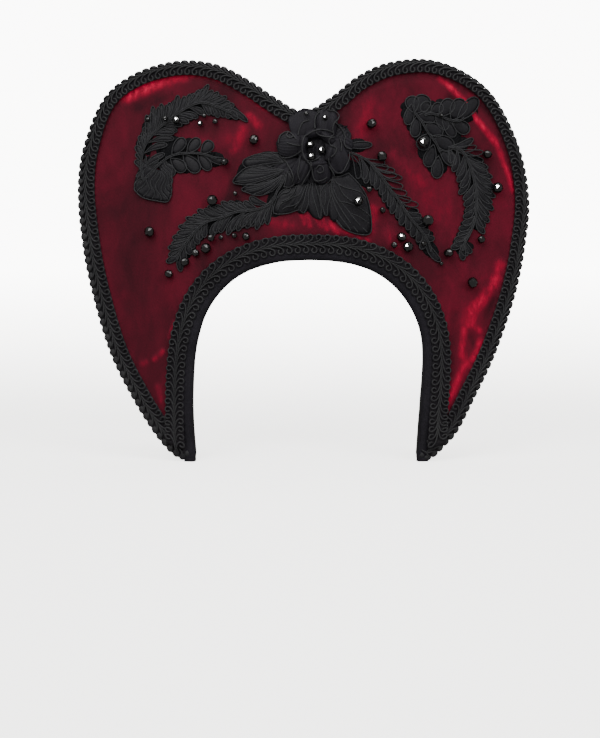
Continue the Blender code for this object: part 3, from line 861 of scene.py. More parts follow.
@dataclass
class HeadBand:
    """Padded band of black velvet along the arch, its front edge rolled over."""

    columns: int = 150
    # Puckers of the cloth: length along the band, length across it, and height
    pucker: Spot = (11.0, 7.0, 0.18)
    # How far the cloth stands out of the band's faces
    cloth: float = 0.1
    # How far the cloth rises over the top of the arch, and between which heights
    crown_lift: float = 0.9
    lift_between: Place = (100.0, 130.0)
    # Section: distance out from the arch's inner face and height, from the back round the front
    section: tuple[Place, ...] = (
        (2.5, -38.0), (0.7, -37.6), (0.0, -36.0), (0.0, -28.0), (0.0, -18.0), (0.0, -8.0), (0.0, -2.0),
        (0.0, 0.4), (0.35, 1.8), (1.4, 2.8), (3.2, 3.1), (5.2, 2.8), (6.8, 2.4), (6.9, 2.1), (5.0, 1.9),
        (5.0, -2.0), (5.0, -8.0), (5.0, -18.0), (5.0, -28.0), (5.0, -36.0), (4.3, -37.6), (2.5, -38.0),
    )
    half_wall: float = 2.5
    crease: float = radians(70)
    # Widening to the back: share of x, and rise, for each millimetre behind the panel
    flare: float = 0.0027
    rise: float = 0.0875
    # Height below which the rise gives way, so that the feet end level
    foot: float = 11.4
    finish: BlackCloth = BAND_VELVET

    def build(self) -> None:
        """Builds the band as a closed strip and dresses it."""
        arch = PATTERN.arch()
        steps = len(self.section) - 1
        lean = tan(SURFACE.lean)

        def spot(u: float, v: float) -> Spot:
            """Pattern spot of the band, at shares of the way along the arch and round the section."""
            point, _, inward = arch.at(u * arch.length)
            out, height = self.section[round(v * steps)]
            long, wide, rise = self.pucker
            pucker = rise * noise.noise(Vector((u * arch.length / long, height / wide, 0.4)))
            inside = 1.0 if out < self.half_wall else -1.0
            at = point - (out + inside * (pucker - self.cloth)) * inward
            at.y += self.crown_lift * smoothstep(*self.lift_between, point.y)
            behind = max(0.0, -SURFACE.front - height)
            near_floor = max(0.0, 1 - point.y / self.foot)
            z = at.y + (1 - near_floor) * self.rise * behind - near_floor * height * lean
            return (at.x * (1 + self.flare * behind), max(z, -height * lean), height)

        bm = bmesh.new()
        mapped_grid(bm, self.columns, steps, spot)
        bmesh.ops.remove_doubles(bm, verts=[v for v in bm.verts if v.is_boundary], dist=TINY)
        bmesh.ops.holes_fill(bm, edges=[e for e in bm.edges if e.is_boundary], sides=0)
        bmesh.ops.recalc_face_normals(bm, faces=bm.faces)
        piece = object_of(bm, "padded_velvet_band")
        piece.data.set_sharp_from_angle(angle=self.crease)
        keep(piece, self.finish.material(), Slot.BLACK_VELVET, ["head_band"])


@dataclass
class GimpBraid:
    """Scroll gimp: a woven tape with two rows of cord scrolls that spring from its middle line."""

    name: str
    node: str
    track: Track
    width: float
    pitch: float
    forward: int
    # Thickness of the tape and its backing, radius of the cord, length of the tape's cells
    tape: float = 0.5
    backing: float = 0.05
    cord: float = 0.54
    cell: float = 2.5
    # Middle line of a scroll's cord: distance ahead of the loop's middle, distance out from the
    # braid's middle line before it is stretched to the width, and lift above the tape
    line: tuple[Spot, ...] = (
        (-7.4, 0.1, 0.45), (-5.6, 0.3, 0.6), (-3.4, 0.6, 0.85), (-1.3, 1.1, 1.0), (0.4, 1.95, 1.1),
        (1.4, 3.05, 1.1), (1.65, 4.15, 1.05), (1.15, 5.2, 1.0), (0.0, 5.65, 1.0), (-1.15, 5.2, 0.95),
        (-1.6, 4.2, 0.9), (-1.3, 3.3, 0.8), (-0.8, 2.75, 0.65),
    )
    # How far in from each end the scrolls of the inner and of the outer row start
    clear: Place = (0.0, 0.0)
    # How much lower the loops of the outer row lie, where yarn pads them, and where on the line
    sunk: float = 0.0
    sunk_between: Place = (2.2, 4.2)
    finish: BlackCloth = GIMP_RAYON

    def locate(self, along: float, across: float, lift: float) -> Spot:
        """Pattern spot of a place on the braid.

        Args:
            along: Distance along the track.
            across: Distance from the braid's inner rim, over its width.
            lift: Height above its underside.

        Returns:
            Pattern x, z and height.
        """
        raise NotImplementedError

    def scroll(self) -> list[Spot]:
        """Shapes one scroll.

        The cord leaves the middle line beside the one before it, swings out and turns back at
        the rim of the braid like a hook.

        Returns:
            Distance ahead, distance out and lift of each point, from its tail to its end.
        """
        stretch = (self.width / 2 - self.cord) / max(out for _, out, _ in self.line)
        path = smooth_path([(ahead, out) for ahead, out, _ in self.line], 2)
        points = []
        for step, at in enumerate(path):
            near, far = self.line[step // 2], self.line[(step + 1) // 2]
            points.append((at.x, at.y * stretch, (near[2] + far[2]) / 2))
        return points

    def build_tape(self) -> None:
        """Weaves the tape under the scrolls."""
        columns = round(self.track.length / self.cell)
        bm = bmesh.new()
        for level in (self.backing, self.tape):

            def spot(u: float, v: float, level: float = level) -> Spot:
                """Pattern spot of one face of the tape, at shares of its length and its width."""
                across = self.cord + v * (self.width - 2 * self.cord)
                return self.locate(u * self.track.length, across, level)

            mapped_grid(bm, columns, 8, spot)
        bmesh.ops.bridge_loops(bm, edges=[e for e in bm.edges if e.is_boundary])
        bmesh.ops.recalc_face_normals(bm, faces=bm.faces)
        piece = object_of(bm, f"{self.name}_tape")
        keep(piece, GIMP_TAPE.material(), Slot.BLACK_GIMP, [self.node])

    def homes(self) -> list[tuple[float, int]]:
        """Spaces the scrolls.

        Returns:
            Where each scroll's loop lies along the track, and its row: -1 inside, 1 outside.
        """
        count = round(self.track.length / self.pitch)
        rows = []
        for index in range(count):
            home = (index + 0.5) * self.track.length / count
            rows += [(home, -1), (home + 0.5 * self.pitch, 1)]
        clear = {-1: self.clear[0], 1: self.clear[1]}
        return [row for row in rows if clear[row[1]] <= row[0] <= self.track.length - clear[row[1]]]

    def build_scrolls(self) -> None:
        """Lays the two rows of scrolls."""
        work = CordWork(f"{self.name}_scrolls", self.cord)
        shape = self.scroll()
        for start, side in self.homes():
            spots = []
            for ahead, out, lift in shape:
                drop = self.sunk * smoothstep(*self.sunk_between, out) if side > 0 else 0.0
                along, across = start + self.forward * ahead, self.width / 2 + side * out
                spots.append(self.locate(along, across, self.tape + lift - drop))
            work.run(spots)
        keep(work.build(), self.finish.material(), Slot.BLACK_GIMP)

    def build(self) -> None:
        """Builds the tape and the scrolls."""
        self.build_tape()
        self.build_scrolls()


@dataclass
class EdgeBraid(GimpBraid):
    """The braid round the heart, which turns over the panel's edge for part of its width."""

    # Share of the way round from the left foot, and how far the braid lies on the front there
    reach: tuple[Place, ...] = (
        (0.0, 12.0), (0.20, 12.6), (0.33, 8.2), (0.50, 8.6), (0.67, 7.2), (0.80, 9.2), (1.0, 10.5),
    )
    clear: Place = (12.0, 2.0)
    sunk: float = 0.55
    # Yarn pads under the outer loops: half length, half width, height, how far in from the outer
    # rim, how far in from the braid's ends the two end pads lie, and how full their domes are
    pad_half: Place = (2.75, 2.6)
    pad_rise: float = 1.9
    pad_in: float = 2.34
    pad_end: float = 0.6
    pad_full: float = 0.8
    # How much lower the pads are where they lie on the front, and how far in that begins and ends
    pad_press: float = 0.5
    press_between: Place = (-1.5, 1.2)

    def build(self) -> None:
        """Builds the tape, the scrolls, and the yarn that pads the outer loops into scallops."""
        super().build()
        bm = bmesh.new()
        centre = self.width - self.pad_in
        ends = (self.pad_end, self.track.length - self.pad_end)
        for start in (*ends, *(home for home, side in self.homes() if side > 0)):
            inset = self.reach_at(start / self.track.length) - centre
            top = self.pad_rise * (1 - self.pad_press * smoothstep(*self.press_between, inset))

            def spot(u: float, v: float, start: float = start, top: float = top) -> Spot:
                """Pattern spot of a pad, at shares of the way round it and up its dome."""
                turn, rise = 2 * pi * u, pi / 2 * v
                along = start + self.pad_half[0] * cos(turn) * cos(rise)
                across = centre + self.pad_half[1] * sin(turn) * cos(rise)
                return self.locate(along, across, self.tape + top * sin(rise) ** self.pad_full)

            made = mapped_grid(bm, 12, 5, spot)
            bmesh.ops.remove_doubles(bm, verts=made, dist=TINY)
        bmesh.ops.holes_fill(bm, edges=[e for e in bm.edges if e.is_boundary], sides=0)
        bmesh.ops.recalc_face_normals(bm, faces=bm.faces)
        keep(object_of(bm, f"{self.name}_padding"), self.finish.material(), Slot.BLACK_GIMP)

    def reach_at(self, share: float) -> float:
        """How far the braid lies on the front.

        Args:
            share: Share of the way round from the left foot.

        Returns:
            The distance from the panel's edge to the braid's inner rim.
        """
        for (start, first), (stop, last) in zip(self.reach, self.reach[1:]):
            if share <= stop:
                return first + (last - first) * smoothstep(start, stop, share)
        return self.reach[-1][1]

    def locate(self, along: float, across: float, lift: float) -> Spot:
        """Pattern spot of a place on the braid, on the front or round the edge.

        Args:
            along: Distance along the track.
            across: Distance from the braid's inner rim, over its width.
            lift: Height above its underside.

        Returns:
            Pattern x, z and height.
        """
        point, _, inward = self.track.at(along)
        inset = self.reach_at(max(0.0, min(1.0, along / self.track.length))) - across
        high = SURFACE.skin + lift
        if inset >= SURFACE.front:
            at = point + inset * inward
            return (at.x, at.y, high)
        turn = (SURFACE.front - inset) / (SURFACE.skin + self.tape)
        at = point + (SURFACE.front - high * sin(turn)) * inward
        return (at.x, at.y, high * cos(turn))


@dataclass
class ArchBraid(GimpBraid):
    """The braid that lies flat round the arch, on top of the edge braid where they meet at the feet."""

    start: float = 4.9
    # How far it rises over the edge braid, and between which heights it comes down from it
    overlap_rise: float = 1.9
    overlap_between: Place = (12.0, 40.0)
    # The ends are cut along the heart's edge: how far the cut slants, and how far in it is felt
    slant: float = 0.4
    slant_reach: float = 30.0

    def locate(self, along: float, across: float, lift: float) -> Spot:
        """Pattern spot of a place on the braid.

        Args:
            along: Distance along the track.
            across: Distance from the braid's inner rim, over its width.
            lift: Height above its underside.

        Returns:
            Pattern x, z and height.
        """
        left = 1 - smoothstep(0, self.slant_reach, along)
        right = 1 - smoothstep(0, self.slant_reach, self.track.length - along)
        point, _, inward = self.track.at(along + self.slant * across * (left - right))
        at = point - (self.start + across) * inward
        over = self.overlap_rise * (1 - smoothstep(*self.overlap_between, at.y))
        return (at.x, at.y, SURFACE.skin + over + lift)


@dataclass(frozen=True)
class Leaf:
    """A loop of the lace: a narrow neck at the stem, widest near its round tip."""

    foot: Vector
    tip: Vector
    width: float
    lean: float = 0.0
    crown: float = 0.6
    base: float = 0.35
    neck: float = 1.5
    # Half width of the loop's outline for a width of 1, before the neck draws it in
    fullness: float = 0.71
    # The filling: where it starts and how far it runs along the leaf, and its share of the width
    fill_start: float = 0.12
    fill_run: float = 0.87
    fill_width: float = 0.96

    def spot(self, along: float, across: float, lift: float) -> Spot:
        """Pattern spot inside the leaf.

        Args:
            along: Share of the way from foot to tip.
            across: From -1 on one edge to 1 on the other.
            lift: Height above the leaf's underside.

        Returns:
            Pattern x, z and height.
        """
        spine = self.tip - self.foot
        side = Vector((-spine.y, spine.x)).normalized()
        turn = 2 * atan2(sqrt(max(0.0, along)), sqrt(max(1e-9, 1 - along)))
        half = self.fullness * self.width * sin(turn) * sin(turn / 2) ** self.neck
        bow = self.lean * spine.length * sin(pi * along)
        at = self.foot + along * spine + (across * half + bow) * side
        return (at.x, at.y, SURFACE.skin + self.base + lift)

    def add_fill(self, bm: bmesh.types.BMesh, columns: int = 9, rows: int = 6) -> None:
        """Adds the crowned filling.

        Args:
            bm: The bmesh that it joins.
            columns: Cells along the leaf.
            rows: Cells across it.
        """

        def spot(u: float, v: float) -> Spot:
            """Pattern spot of the filling, at shares of its length and its width."""
            across = 2 * v - 1
            along = self.fill_start + self.fill_run * u
            rounding = sqrt(max(0.0, 1 - across * across))
            rise = self.crown * rounding * sin(pi * min(1.0, 0.1 + 0.85 * u)) ** 0.5
            return self.spot(along, across * self.fill_width, rise)

        made = mapped_grid(bm, columns, rows, spot)
        bmesh.ops.remove_doubles(bm, verts=made, dist=TINY)

    def lay_outline(
        self, work: CordWork, lead: Sequence[Vector], lift: float = 0.45, steps: int = 18
    ) -> None:
        """Lays the cord that outlines the leaf.

        Args:
            work: The cords that it joins.
            lead: Points along the stem that the cord follows before it reaches the leaf.
            lift: Height of the cord above the leaf's underside.
            steps: Steps round the leaf.
        """
        start = [(at.x, at.y, SURFACE.skin + self.base + lift + 0.3) for at in lead]
        spots = []
        for step in range(steps + 1):
            turn = 2 * pi * step / steps
            along = (1 - cos(turn)) / 2
            spots.append(self.spot(along, 1.0 if turn <= pi else -1.0, lift))
        work.run([*start, *spots])


class Relief:
    """The front of a bmesh of cloth, for laying cords on it."""

    # How far round a place the cloth is looked at, its least height, and the most that a cord
    # may lie below the highest cloth there
    reach: float = 1.3
    bed: float = 0.6
    give: float = 0.2

    def __init__(self, cloth: bmesh.types.BMesh) -> None:
        """Sorts the cloth's points by where they are seen from the front.

        Args:
            cloth: The cloth, in place.
        """
        self.points = [v.co.copy() for v in cloth.verts]
        self.tree = KDTree(len(self.points))
        for number, at in enumerate(self.points):
            self.tree.insert((at.x, 0.0, at.z), number)
        self.tree.balance()

    def lay(self, cords: CordWork, line: Sequence[Place], lift: float) -> None:
        """Lays one cord along a line read from the front.

        Args:
            cords: The cords that it joins.
            line: Places on the line, in millimetres.
            lift: Height of the cord's middle above the cloth.
        """
        spots = []
        for place in smooth_path([SURFACE.seen(*p) for p in line], 4):
            at = SURFACE.place(place.x, place.y, SURFACE.skin + self.bed)
            near = self.tree.find_range((at.x, 0.0, at.z), self.reach * MM)
            depth = min([at.y, *(self.points[number].y for _, number, _ in near)])
            spots.append(Vector((at.x, depth - lift * MM, at.z)))
        level = [at.y for at in spots]
        for number, at in enumerate(spots):
            span = level[max(0, number - 1) : number + 2]
            at.y = min(sum(span) / len(span), level[number] + self.give * MM)
        cords.run_world(spots)


@dataclass
class Spray:
    """A fern frond of the lace: a corded stem, and corded leaves on a ground of net."""

    node: str
    stem: tuple[Place, ...]
    tips: tuple[Place, ...] = ()
    width: float = 4.0
    # Numbers of the tips whose leaves are open loops, without filling
    open_tips: tuple[int, ...] = ()
    # How far back along the stem a leaf springs, for its reach out from the stem
    swept: float = 1.35
    # Tips further apart than this get a leaf between, up to so many times the distance, and the share
    # of its length by which that leaf is shorter
    between: float = 5.4
    between_most: float = 2.6
    shorter: float = 0.14
    # How far a leaf leans to the stem's tip, as a share of its length, and its least height and the
    # height between three that lie over each other
    lean: float = 0.09
    low: float = 0.3
    layer: float = 0.14
    # The net under a leaf: its width for the leaf's, and the share of the leaf's length that it takes
    web: float = 1.9
    web_reach: float = 0.84
    # Length of the stem that a leaf's cord follows, its distance from the stem, and how far it moves
    # away in each of three steps
    lead: float = 5.0
    lead_gap: float = 0.25
    lead_drift: float = 0.1
    # The stem's two cords: how far each lies from its middle, and how high
    stem_half: float = 0.45
    stem_height: float = 1.5
    # Leaves given by their own feet: foot x, z, tip x, z, width
    own: tuple[tuple[float, ...], ...] = ()

    def leaves(self, track: Track) -> list[tuple[Leaf, list[Vector], bool]]:
        """Shapes the frond's leaves.

        A leaf springs from the stem before the point nearest its tip. Where two tips lie far apart,
        a shorter leaf stands between them.

        Args:
            track: The stem's path.

        Returns:
            Each leaf, the run of stem that its cord follows, and whether it is filled.
        """
        sides: dict[float, list[tuple[float, Vector, bool]]] = {-1.0: [], 1.0: []}
        for number, (x, z) in enumerate(self.tips):
            tip = SURFACE.seen(x, z)
            near = track.nearest(tip)
            point, _, right = track.at(near)
            side = 1.0 if (tip - point).dot(right) > 0 else -1.0
            sides[side].append((near, tip, number not in self.open_tips))
        made = []
        for side, rows in sides.items():
            rows.sort(key=lambda row: row[0])
            full = rows[:1]
            for before, after in zip(rows, rows[1:]):
                if self.between < (after[1] - before[1]).length < self.between_most * self.between:
                    near = (before[0] + after[0]) / 2
                    middle = (before[1] + after[1]) / 2
                    tip = middle.lerp(track.at(near)[0], self.shorter)
                    full.append((near, tip, before[2] and after[2]))
                full.append(after)
            for number, (near, tip, filled) in enumerate(full):
                reach = (tip - track.at(near)[0]).length
                home = max(0.0, near - self.swept * reach)
                foot, _, right = track.at(home)
                foot = foot + 0.5 * side * right
                lead = []
                for step in range(3):
                    point, _, aside = track.at(max(0.0, home - self.lead * (1 - step / 3)))
                    lead.append(point + side * (self.lead_gap + self.lead_drift * step) * aside)
                base = self.low + self.layer * (number % 3)
                leaf = Leaf(foot, tip, self.width, lean=self.lean * side, base=base)
                made.append((leaf, lead, filled))
        for x, z, tip_x, tip_z, width in self.own:
            foot, tip = SURFACE.seen(x, z), SURFACE.seen(tip_x, tip_z)
            made.append((Leaf(foot, tip, width, base=0.4, neck=0.8), [], True))
        return made

    def build(self, cords: CordWork, fill: bmesh.types.BMesh, net: bmesh.types.BMesh) -> None:
        """Lays the stem and the leaves.

        Args:
            cords: The cords that the outlines and the stem join.
            fill: The bmesh that the satin fillings join.
            net: The bmesh that the ground of net joins.
        """
        track = Track(smooth_path([SURFACE.seen(*p) for p in self.stem], 6))
        for leaf, lead, filled in self.leaves(track):
            leaf.lay_outline(cords, lead)
            if filled:
                leaf.add_fill(fill)
                end = leaf.foot.lerp(leaf.tip, self.web_reach)
                wide = self.web * leaf.width
                ground = Leaf(leaf.foot, end, wide, leaf.lean, crown=0.0, base=0.12, neck=0.5)
                ground.add_fill(net, 6, 4)
        steps = max(8, round(track.length / 3))
        for side in (-self.stem_half, self.stem_half):
            spots = []
            for step in range(steps + 1):
                point, _, right = track.at(track.length * step / steps)
                at = point + side * right
                spots.append((at.x, at.y, SURFACE.skin + self.stem_height))
            cords.run(spots)


@dataclass
class FanLeaf:
    """A wide leaf of the lace, quilted between ribs that fan out from its foot to its rim."""

    foot: Place
    rim: tuple[Place, ...]
    ribs: int
    # Heights: of the leaf's dome, of its underside, of the quilting and of the cords above it
    crown: float = 1.5
    base: float = 0.5
    quilt: float = 0.45
    cord_lift: float = 0.15
    # How far the ribs bow and how far they waver, as shares of their length
    bow: float = 0.06
    wave: float = 0.0
    # Share of the way to the rim at which the leaf shows
    begin: float = 0.0
    # Cords that branch over the leaf in place of the fan of ribs
    veins: tuple[tuple[Place, ...], ...] = ()

    def spot(self, u: float, v: float, lift: float = 0.0) -> Spot:
        """Pattern spot of a place on the leaf, which domes up from its foot and down to its rim.

        Args:
            u: Share of the way from where the leaf shows to its rim.
            v: Share of the way along the rim.
            lift: Height above the leaf.

        Returns:
            Pattern x, z and height.
        """
        u = self.begin + (1 - self.begin) * u
        foot = SURFACE.seen(*self.foot)
        rim = Track(smooth_path([SURFACE.seen(*p) for p in self.rim], 6))
        end, _, _ = rim.at(v * rim.length)
        run = end - foot
        aside = Vector((-run.y, run.x))
        at = foot + u * run + (self.bow * sin(pi * u) + self.wave * sin(5.5 * pi * u + 9 * v)) * aside
        dome = self.crown * sin(pi * min(1.0, 0.18 + 0.78 * u)) * (0.35 + 0.65 * sin(pi * v))
        furrow = self.quilt * abs(sin(pi * self.ribs * v)) * min(1.0, 2 * u)
        return (at.x, at.y, SURFACE.skin + self.base + dome + furrow + lift)

    def build(self, cords: CordWork, fill: bmesh.types.BMesh) -> None:
        """Lays the quilted ground, the ribs or veins, and the outline.

        Args:
            cords: The cords that the ribs, the veins and the outline join.
            fill: The bmesh that the quilted ground joins.
        """
        made = mapped_grid(fill, 10, 4 * self.ribs, self.spot)
        bmesh.ops.remove_doubles(fill, verts=made, dist=TINY)
        lift = self.cord_lift
        steps = 6 * self.ribs
        rim = [self.spot(1.0, step / steps, lift) for step in range(steps + 1)]
        if self.veins:
            relief = Relief(fill)
            for vein in self.veins:
                relief.lay(cords, vein, lift)
            rim = [*(self.spot(step / 8, 0.0, lift) for step in range(8)), *rim,
                   *(self.spot(step / 8, 1.0, lift) for step in reversed(range(8)))]
        else:
            for rib in range(self.ribs + 1):
                reach = 1.0 if rib in (0, self.ribs) else 0.96
                shares = [0.04 + (reach - 0.04) * step / 11 for step in range(12)]
                cords.run([self.spot(share, rib / self.ribs, lift) for share in shares])
        cords.run(rim)


@dataclass
class LeafCluster:
    """Wide leaves of one applique that share a node."""

    node: str
    leaves: tuple[FanLeaf, ...]

    def build(self, cords: CordWork, fill: bmesh.types.BMesh, net: bmesh.types.BMesh) -> None:
        """Lays every leaf of the cluster.

        Args:
            cords: The cords that the leaves' outlines join.
            fill: The bmesh that the leaves join.
            net: The ground of net, which wide leaves don't need.
        """
        for leaf in self.leaves:
            leaf.build(cords, fill)


@dataclass
class StrapCluster:
    """Narrow straps of corded satin that hang below the rose."""

    node: str
    # Foot x, z, tip x, z, width and bow of each strap
    straps: tuple[tuple[float, ...], ...]
    seams: tuple[tuple[Place, ...], ...]
    cord_lift: float = 0.15

    def build(self, cords: CordWork, fill: bmesh.types.BMesh, net: bmesh.types.BMesh) -> None:
        """Lays every strap and the cords on them.

        Args:
            cords: The cords that the seams join.
            fill: The bmesh that the straps join.
            net: The ground of net, which the straps don't need.
        """
        for number, (x, z, tip_x, tip_z, width, bow) in enumerate(self.straps):
            leaf = Leaf(SURFACE.seen(x, z), SURFACE.seen(tip_x, tip_z), width, lean=bow,
                        base=0.5 + 0.3 * (number % 2), crown=1.3, neck=0.1)
            leaf.add_fill(fill, 12, 6)
        relief = Relief(fill)
        for seam in self.seams:
            relief.lay(cords, seam, self.cord_lift)


@dataclass
class Petal:
    """A petal of the rose, cut from gathered organza."""

    foot: Place
    tip: Place
    width: float
    # Heights of its rim and of its middle
    low: float
    high: float
    ribs: int
    # How ragged its tip is, and how wide it is at the foot, as shares of its length and width
    ragged: float = 0.0
    neck: float = 0.45
    gather: float = 0.35

    def spot(self, along: float, across: float) -> Spot:
        """Pattern spot of a place on the petal, which domes up from its foot and down to its rim.

        Args:
            along: Share of the way from foot to tip.
            across: From -1 on one edge to 1 on the other.

        Returns:
            Pattern x, z and height.
        """
        foot, tip = SURFACE.seen(*self.foot), SURFACE.seen(*self.tip)
        spine = tip - foot
        side = Vector((-spine.y, spine.x)).normalized()
        half = self.width / 2 * (self.neck + (1 - self.neck) * sqrt(along)) * sqrt(max(0.0, 1 - along**6))
        fray = self.ragged * along * noise.noise(Vector((across * 5.3, self.width, 0.2)))
        at = foot + (along + fray) * spine + across * half * side
        gather = self.gather * cos(pi * self.ribs * across) * (0.3 + 0.7 * along)
        dome = (self.high - self.low) * sin(pi * min(1.0, 0.15 + 0.8 * along)) * (1 - 0.75 * across**2)
        return (at.x, at.y, SURFACE.skin + self.low + dome + gather)

    def build(self, cloth: bmesh.types.BMesh) -> None:
        """Adds the petal's cloth."""
        made = mapped_grid(cloth, 14, 22, lambda u, v: self.spot(u, 2 * v - 1))
        bmesh.ops.remove_doubles(cloth, verts=made, dist=TINY)


@dataclass
class Appliques:
    """All the lace sewn to the velvet: sprays, wide leaves, straps and the rose."""

    groups: Sequence[Spray | LeafCluster | StrapCluster]
    petals: Sequence[Petal]
    edgings: Sequence[Sequence[Place]]
    nets: Sequence[tuple[float, ...]]
    # Radius of the cords, height of the rose's cords above the petals, and thickness of the cloths
    cord: float = 0.42
    edging_lift: float = 0.1
    satin: float = 0.35
    net: float = 0.12
    organza: float = 0.3

    def build(self) -> None:
        """Builds the sprays and leaves, the net between them, then the rose."""
        cord_finish = LACE_CORD.material()
        satin_finish = LACE_SATIN.material()
        net = bmesh.new()
        for group in self.groups:
            cords = CordWork(f"{group.node}_cords", self.cord)
            fill = bmesh.new()
            group.build(cords, fill, net)
            keep(cords.build(), cord_finish, Slot.BLACK_SATIN)
            self.finish_cloth(fill, f"{group.node}_satin", self.satin, satin_finish, [group.node])
        for x, z, tip_x, tip_z, width in self.nets:
            patch = Leaf(SURFACE.seen(x, z), SURFACE.seen(tip_x, tip_z), width, crown=0.3, base=0.1, neck=0.0)
            patch.add_fill(net)
        self.finish_cloth(net, "lace_net", self.net, NET.material(), [])
        cords = CordWork("rose_cords", self.cord)
        cloth = bmesh.new()
        for petal in self.petals:
            petal.build(cloth)
        relief = Relief(cloth)
        for line in self.edgings:
            relief.lay(cords, line, self.edging_lift)
        keep(cords.build(), ROSE_CORD.material(), Slot.BLACK_SATIN)
        self.finish_cloth(cloth, "rose_petals", self.organza, ORGANZA.material(), ["rose"])

    @staticmethod
    def finish_cloth(
        bm: bmesh.types.BMesh, name: str, thickness: float, finish: bpy.types.Material, nodes: Sequence[str]
    ) -> None:
        """Gives flat cloth its thickness and dresses it.

        Args:
            bm: The cloth, facing out of the panel.
            name: The piece's name.
            thickness: Thickness in millimetres, added below.
            finish: Its finish.
            nodes: CAD nodes that it stands for.
        """
        bmesh.ops.recalc_face_normals(bm, faces=bm.faces)
        away = [face for face in bm.faces if face.normal.y > 0]
        bmesh.ops.reverse_faces(bm, faces=away)
        piece = object_of(bm, name)
        body = piece.modifiers.new("cloth", "SOLIDIFY")
        body.thickness = thickness * MM
        body.offset = -1.0
        keep(piece, finish, Slot.BLACK_SATIN, nodes)


@dataclass
class Beads:
    """Faceted glass beads: one on each bead node of the frame, and the smallest ones between."""

    # Beads too small for a node of their own: x, z, height above the velvet, diameter
    small: tuple[tuple[float, ...], ...] = (
        (-91.6, 226.9, 2.6, 3.6), (-68.3, 223.3, 2.4, 3.8), (-65.6, 228.3, 2.8, 3.4),
        (-58.4, 224.5, 2.4, 3.8), (-103.7, 226.7, 1.8, 3.4), (-61.1, 147.3, 3.2, 5.2),
        (-45.7, 148.9, 2.2, 4.0), (-54.6, 147.7, 2.2, 3.4), (-45.1, 176.8, 2.4, 3.2), (1.8, 229.1, 5.2, 3.0),
        (60.0, 142.7, 2.3, 4.4), (52.3, 165.7, 2.6, 4.6), (79.8, 143.5, 2.2, 3.4), (91.9, 130.3, 1.6, 3.0),
        (43.5, 179.8, 2.4, 4.4), (91.4, 228.9, 2.4, 2.8),
    )
    # Beads that lie with one facet to the small lamp, and show it as a white spark
    sparks: tuple[str, ...] = (
        "bead_centre_a", "bead_centre_b", "bead_centre_c", "bead_centre_d", "bead_left_e", "bead_right_c",
        "bead_right_e", "bead_right_g", "bead_right_h", "bead_right_j",
    )
    # How flat a bead is along its hole, and its size for the size of its node: on the velvet, in the rose
    flatten: float = 0.88
    swell: float = 1.2
    shrink: float = 0.85
    # How much further each bead is turned than the one before it, and the small ones, and its tilt
    turn: float = 1.3
    small_turn: float = 2.1
    tilt: float = 0.7
    finish: JetGlass = field(default_factory=JetGlass)

    def add(self, bm: bmesh.types.BMesh, centre: Vector, diameter: float, turn: float, lit: bool) -> None:
        """Adds one bead: a faceted ball, a little flatter than round along its hole.

        Args:
            bm: The bmesh that the bead joins.
            centre: Its middle, in metres.
            diameter: Its diameter, in millimetres.
            turn: How it lies, in radians.
            lit: Whether one facet faces halfway between the eye and the small lamp.
        """
        made = bmesh.ops.create_icosphere(bm, subdivisions=2, radius=diameter / 2 * MM)["verts"]
        tip = Matrix.Rotation(turn, 3, "Y") @ Matrix.Rotation(self.tilt * turn, 3, "X")
        bmesh.ops.scale(bm, verts=made, vec=(1, 1, self.flatten))
        bmesh.ops.rotate(bm, verts=made, matrix=tip)
        if lit:
            bm.normal_update()
            eye = (Vector(Studio.eye) * MM - centre).normalized()
            lamp = (Vector(Studio.spark[0]) - centre).normalized()
            facets = [face.normal.copy() for vert in made for face in vert.link_faces]
            nearest = max(facets, key=(eye + lamp).dot)
            bmesh.ops.rotate(bm, verts=made, matrix=nearest.rotation_difference(eye + lamp).to_matrix())
        bmesh.ops.translate(bm, verts=made, vec=centre)

    def build(self) -> None:
        """Builds all the beads as one piece."""
        bm = bmesh.new()
        nodes = sorted(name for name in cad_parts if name.startswith("bead_"))
        for number, name in enumerate(nodes):
            low, high = (Vector(corner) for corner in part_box(name))
            size = self.shrink if name.startswith("bead_centre") else self.swell
            diameter = size * (high.x - low.x) / MM
            self.add(bm, (low + high) / 2, diameter, self.turn * number, name in self.sparks)
        for number, (x, z, height, diameter) in enumerate(self.small):
            at = SURFACE.seen(x, z)
            centre = SURFACE.place(at.x, at.y, SURFACE.skin + height)
            self.add(bm, centre, diameter, self.small_turn * number, False)
        piece = object_of(bm, "faceted_beads", smooth=False)
        keep(piece, self.finish.material(), Slot.JET_GLASS, nodes)


